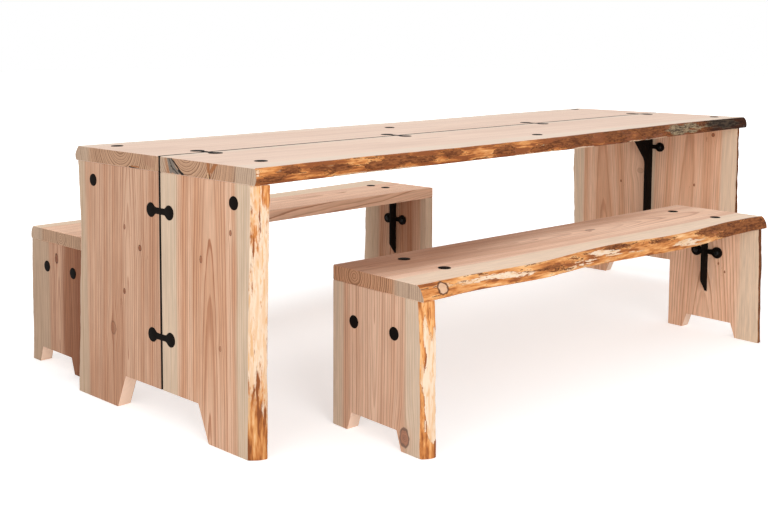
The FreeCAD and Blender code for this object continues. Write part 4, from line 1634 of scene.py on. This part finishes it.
@dataclass(frozen=True)
class Fittings:
    """Draws the iron pieces: seam plates, caps, brackets and bolts.

    A profile is a row of radii and heights. Ear and inlay give a plate's lower and upper height and the
    eases of its two rims.
    """

    iron: bpy.types.Material
    bolt: bpy.types.Material
    cap: Profile = ((17.0, -5.0), (18.0, -4.6), (18.0, 0.4), (17.6, 1.0), (16.6, 1.4), (14.0, 1.8),
                    (9.0, 2.1), (4.0, 2.2))
    stud: Profile = ((6.5, 4.0), (6.5, 6.2), (6.0, 7.2), (5.0, 7.9), (3.4, 8.4), (1.6, 8.6))
    shank: Profile = ((3.5, -20.0), (3.5, 5.8), (9.2, 5.8))
    socket: Profile = ((2.6, 11.1), (2.5, 8.4), (2.4, 8.2))
    head_radius: float = 9.6
    head_foot: float = 6.3
    head_rise: float = 5.2
    head_open: float = 0.36
    ear: tuple[float, ...] = (0.0, 6.0, 0.3, 1.6)
    inlay: tuple[float, ...] = (-6.0, 1.0, 0.3, 0.9)
    rib_ease: float = 1.8
    outline: np.ndarray = field(default_factory=dumbbell_outline)

    def plate(self, name: str, facing: Facing, form: tuple[float, ...]) -> None:
        """A dumbbell plate: the outline between two heights, with eased rims.

        Args:
            name: the solid it stands for.
            facing: its place.
            form: lower and upper height, and the eases of its two rims.
        """
        shell = Shell()
        eased_plate(shell, self.outline, *form, facing.place())
        finish_piece(name + "_cast", shell.mesh(name), "table", (name,), [self.iron])

    def caps(self, name: str, body: str, facings: list[Facing], stand: Stand | None = None) -> None:
        """Round caps let into the wood: a turned profile with a low crown.

        Args:
            name: the node they stand for.
            body: the body they ride on.
            facings: their places.
            stand: where the bench stands, on a bench.
        """
        shell = Shell()
        for facing in facings:
            turned(shell, *np.transpose(self.cap), facing.place(stand), (0.0, 0.0))
        finish_piece(name + "_turned", shell.mesh(name), body, (name,), [self.iron])

    def bolts(self, name: str, body: str, facings: list[Facing], stand: Stand | None = None) -> None:
        """Button-head bolts in the ears' lobes: a quarter ellipse turned, with a six-sided key socket.

        Args:
            name: the node they stand for.
            body: the body they ride on.
            facings: the ears' places.
            stand: where the bench stands, on a bench.
        """
        shell = Shell()
        turn = np.linspace(0.0, math.pi / 2.0 - self.head_open, 7)
        dome = (self.head_radius * np.cos(turn), self.head_foot + self.head_rise * np.sin(turn))
        profile = np.concatenate([np.transpose(self.shank), dome, np.transpose(self.socket)], axis=1)
        for facing, side in product(facings, (-1, 1)):
            turned(shell, *profile, facing.place(stand), (0.0, side * LOBE_FROM_MIDDLE),
                   hex_rows=len(self.socket), segments=30)
        finish_piece(name + "_turned", shell.mesh(name, 35.0), body, (name,), [self.bolt])

    def bracket(self, name: str, body: str, rib: Rib, corner: Triple, away: int, ears: list[Facing],
                stand: Stand | None = None) -> None:
        """A cast corner bracket: an L-shaped rib on edge with blended corners, and dumbbell ears.

        Args:
            name: the solid it stands for.
            body: the body it rides on.
            rib: the rib's shape.
            corner: where the leg's inner face meets the underside.
            away: +1 or -1 along X, into the room under the top.
            ears: the ears' places.
            stand: where the bench stands, on a bench.
        """
        axes = ((away, 0, 0), (0, 0, 1), (0, -away, 0))
        place = Place(corner, axes) if stand is None else stand.place(*corner, axes)
        shell = Shell()
        half = rib.thickness / 2.0
        eased_plate(shell, rib.outline(), -half, half, self.rib_ease, self.rib_ease, place)
        for ear in ears:
            eased_plate(shell, self.outline, *self.ear, ear.place(stand))
        if rib.stud:
            front = Place(place.origin, (place.axes[0], place.axes[1], (0, -1, 0)))
            turned(shell, *np.transpose(self.stud), front, rib.stud, segments=24)
        finish_piece(name + "_cast", shell.mesh(name), body, (name,), [self.iron])


@dataclass(frozen=True)
class TableIron:
    """The table's brackets, seam plates, caps and bolts."""

    cap_drop: float = 95.0
    leg_caps: tuple[float, ...] = (-318.0, 332.0)
    top_caps: Profile = (
        (TABLE_LEFT + 118.0, -285.0), (TABLE_RIGHT - 92.0, -318.0), (TABLE_LEFT + 1311.0, -314.0),
        (TABLE_LEFT + 75.0, 320.0), (TABLE_RIGHT - 85.0, 382.0), (TABLE_LEFT + 1167.0, 236.0))

    def build(self, fittings: Fittings) -> None:
        """Place every iron piece of the table.

        Args:
            fittings: draws the pieces.
        """
        end_plate = TABLE_RIGHT - TABLE_THICK - TOP_EAR_FROM_CORNER
        levels = (("upper", EAR_FROM_CORNER), ("lower", LOWER_EAR))
        for end, face, away, outward, inward in two_ends(TABLE_LEFT, TABLE_RIGHT):
            inner = face + away * TABLE_THICK
            ears = [Facing(inner, SEAM_Y, TABLE_UNDER - drop, inward) for _, drop in levels]
            ears.append(Facing(inner + away * TOP_EAR_FROM_CORNER, SEAM_Y, TABLE_UNDER, "-z"))
            corner = (inner, SEAM_Y, TABLE_UNDER)
            fittings.bracket(end + "_table_bracket", "table", TABLE_RIB, corner, away, ears)
            fittings.bolts(end + "_table_bracket_bolts", "table", ears)
            for level, drop in levels:
                outside = Facing(face, SEAM_Y, TABLE_UNDER - drop, outward)
                fittings.plate(f"{end}_leg_{level}_seam_plate", outside, fittings.inlay)
            on_top = Facing(-away * end_plate, SEAM_Y, TABLE_HEIGHT, "+z")
            fittings.plate(end + "_end_top_seam_plate", on_top, fittings.inlay)
        middles = []
        for end, side in (("left", -1), ("right", 1)):
            x = side * end_plate / 3.0
            middles.append(Facing(x, SEAM_Y, TABLE_UNDER, "-z"))
            on_top = Facing(x, SEAM_Y, TABLE_HEIGHT, "+z")
            fittings.plate(end + "_middle_top_seam_plate", on_top, fittings.inlay)
            fittings.plate(end + "_under_seam_plate", middles[-1], fittings.ear)
        fittings.bolts("middle_seam_bolts", "table", middles)
        cap_z = TABLE_HEIGHT - self.cap_drop
        legs = [Facing(x, SEAM_Y + y, cap_z, normal)
                for _, x, _, normal, _ in two_ends(TABLE_LEFT, TABLE_RIGHT) for y in self.leg_caps]
        fittings.caps("table_leg_caps", "table", legs)
        tops = [Facing(x, SEAM_Y + y, TABLE_HEIGHT, "+z") for x, y in self.top_caps]
        fittings.caps("table_top_caps", "table", tops)


@dataclass(frozen=True)
class BenchIron:
    """A bench's brackets, caps and bolts, at local places from its left end and sawn edge."""

    stand: Stand
    bracket_across: dict[str, float]
    leg_cap: tuple[float, float]
    seat_caps: tuple[Triple, ...]

    def build(self, fittings: Fittings) -> None:
        """Place every iron piece of the bench.

        Args:
            fittings: draws the pieces.
        """
        stand = self.stand
        body = stand.row + "_bench"
        drop, middle = self.leg_cap
        all_ears, leg_caps = [], []
        for end, face, away, outward, inward in two_ends(0.0, stand.length):
            inner, across = face + away * BENCH_THICK, self.bracket_across[end]
            ears = [Facing(inner, across, BENCH_UNDER - EAR_FROM_CORNER, inward),
                    Facing(inner + away * EAR_FROM_CORNER, across, BENCH_UNDER, "-z")]
            corner = (inner, across, BENCH_UNDER)
            fittings.bracket(f"{body}_{end}_bracket", body, BENCH_RIB, corner, away, ears, stand)
            all_ears += ears
            leg_caps += [Facing(face, middle + s * 80.0, BENCH_HEIGHT - drop, outward) for s in (-1, 1)]
        fittings.bolts(body + "_bolts", body, all_ears, stand)
        fittings.caps(body + "_leg_caps", body, leg_caps, stand)
        seat = [Facing(x, centre + s * gap / 2.0, BENCH_HEIGHT, "+z")
                for x, centre, gap in self.seat_caps for s in (-1, 1)]
        fittings.caps(body + "_seat_caps", body, seat, stand)


FRONT_BENCH_IRON = BenchIron(FRONT_STAND, {"left": 157.0, "right": 157.0}, (143.0, 169.0),
                             ((200.0, 153.0, 160.0), (FRONT_STAND.length - 155.0, 167.0, 172.0)))
REAR_BENCH_IRON = BenchIron(REAR_STAND, {"left": 148.0, "right": 176.0}, (122.0, 131.0),
                            ((145.0, 150.0, 86.0), (REAR_STAND.length - 145.0, 181.0, 86.0)))


# Studio


@dataclass(frozen=True)
class Lamp:
    """A round soft lamp: its name, place, aim, size and power."""

    name: str
    place: Triple
    aim: Triple
    size: float
    power: float

    def build(self) -> None:
        """Make the lamp, turned and tilted to its aim."""
        data = bpy.data.lights.new(self.name, "AREA")
        data.shape, data.size, data.energy = "DISK", self.size, self.power
        lamp = linked(self.name, data)
        lamp.location = self.place
        ahead = np.array(self.aim) - np.array(self.place)
        tilt = math.acos(-ahead[2] / np.linalg.norm(ahead))
        lamp.rotation_euler = (0.0, -tilt, math.atan2(ahead[1], ahead[0]))


@dataclass(frozen=True)
class Studio:
    """Camera at the photograph's angle, pale floor, soft lamps.

    The floor glows for the camera and in mirror-like shares, from glow_under at the object to 1 where
    glow_reach ends. The world is white where it is seen, and gives light of the strength world_light.
    """

    camera_place: Triple = (-3.04995, -2.48337, 1.06325)
    yaw: float = -46.65
    pitch: float = -4.97
    roll: float = 0.28
    lens: float = 50.88
    sensor: float = 36.0
    shift_y: float = -0.1561
    glow_reach: tuple[float, float] = (1.6, 4.0)
    glow_under: float = 0.44
    world_light: float = 0.78
    lamps: tuple[Lamp, ...] = (
        Lamp("key", (-2.6, -5.2, 3.4), (0.0, 0.0, 0.4), 3.2, 90.0),
        Lamp("side", (-6.0, -1.9, 1.8), (0.0, -0.2, 0.4), 2.4, 36.0),
        Lamp("front", (-2.9, -3.9, 0.9), (0.4, -0.3, 0.35), 1.1, 41.0),
        Lamp("top", (0.2, 0.6, 4.6), (0.0, 0.0, 0.5), 4.0, 40.0))

    def camera(self) -> None:
        """Make the camera: heading, pitch and roll as three turns about its own axes."""
        data = bpy.data.cameras.new("studio_camera")
        data.lens, data.sensor_width, data.shift_y = self.lens, self.sensor, self.shift_y
        data.clip_end = 100.0
        camera = linked("studio_camera", data)
        heading, pitch, roll = (Matrix.Rotation(math.radians(angle), 4, axis) for angle, axis in (
            (self.yaw, "Z"), (90.0 + self.pitch, "X"), (self.roll, "Z")))
        camera.matrix_world = Matrix.Translation(self.camera_place) @ (heading @ pitch @ roll)
        bpy.context.scene.camera = camera

    def floor(self) -> None:
        """A wide pale floor that takes the shadow and shows white round the object."""
        half = 30.0
        mesh = bpy.data.meshes.new("floor")
        corners = [(-half, -half, 0), (half, -half, 0), (half, half, 0), (-half, half, 0)]
        mesh.from_pydata(corners, [], [(0, 1, 2, 3)])
        floor = linked("floor", mesh)
        g = Coat("floor_pale")
        far = g.vector_math("LENGTH", g.out("ShaderNodeNewGeometry", key="Position"), key=1)
        glow = g.ray("Is Camera Ray", "Is Glossy Ray") * g.span(far, *self.glow_reach, self.glow_under, 1.0)
        mesh.materials.append(g.finish((0.82, 0.82, 0.82, 1.0), 0.9, 0.0, glow=glow))

    def world(self) -> None:
        """White where seen, softer as light."""
        world = bpy.data.worlds.new("studio")
        bpy.context.scene.world = world
        world.use_nodes = True
        g = Graph(world.node_tree)
        inputs = world.node_tree.nodes["Background"].inputs
        g.join((1.0, 1.0, 1.0, 1.0), inputs["Color"])
        seen = g.ray("Is Camera Ray", "Is Glossy Ray", "Is Transmission Ray")
        g.join(seen * (1.0 - self.world_light) + self.world_light, inputs["Strength"])

    def build(self) -> None:
        """Make the studio: a broad key lamp, soft side and top lamps and a low one in front."""
        bpy.context.scene.view_settings.view_transform = "Standard"
        self.camera()
        self.floor()
        self.world()
        for lamp in self.lamps:
            lamp.build()


def main() -> None:
    """Load the frame, build the planks and the iron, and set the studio."""
    logging.basicConfig(level=logging.INFO, format="%(name)s: %(message)s")
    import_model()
    Studio().build()
    wood = WoodFinish(WoodColours(), ring_group(), knot_group(), mark_group())
    materials = [wood.face(), wood.live(), wood.end()]
    for maker in (TABLE_PLANKS, FRONT_BENCH_PLANKS, REAR_BENCH_PLANKS):
        for plank in maker.planks():
            plank.build(materials)
    fittings = Fittings(CASTINGS_COAT.build(), BOLTS_COAT.build())
    for maker in (TableIron(), FRONT_BENCH_IRON, REAR_BENCH_IRON):
        maker.build(fittings)


if __name__ == "__main__":
    main()
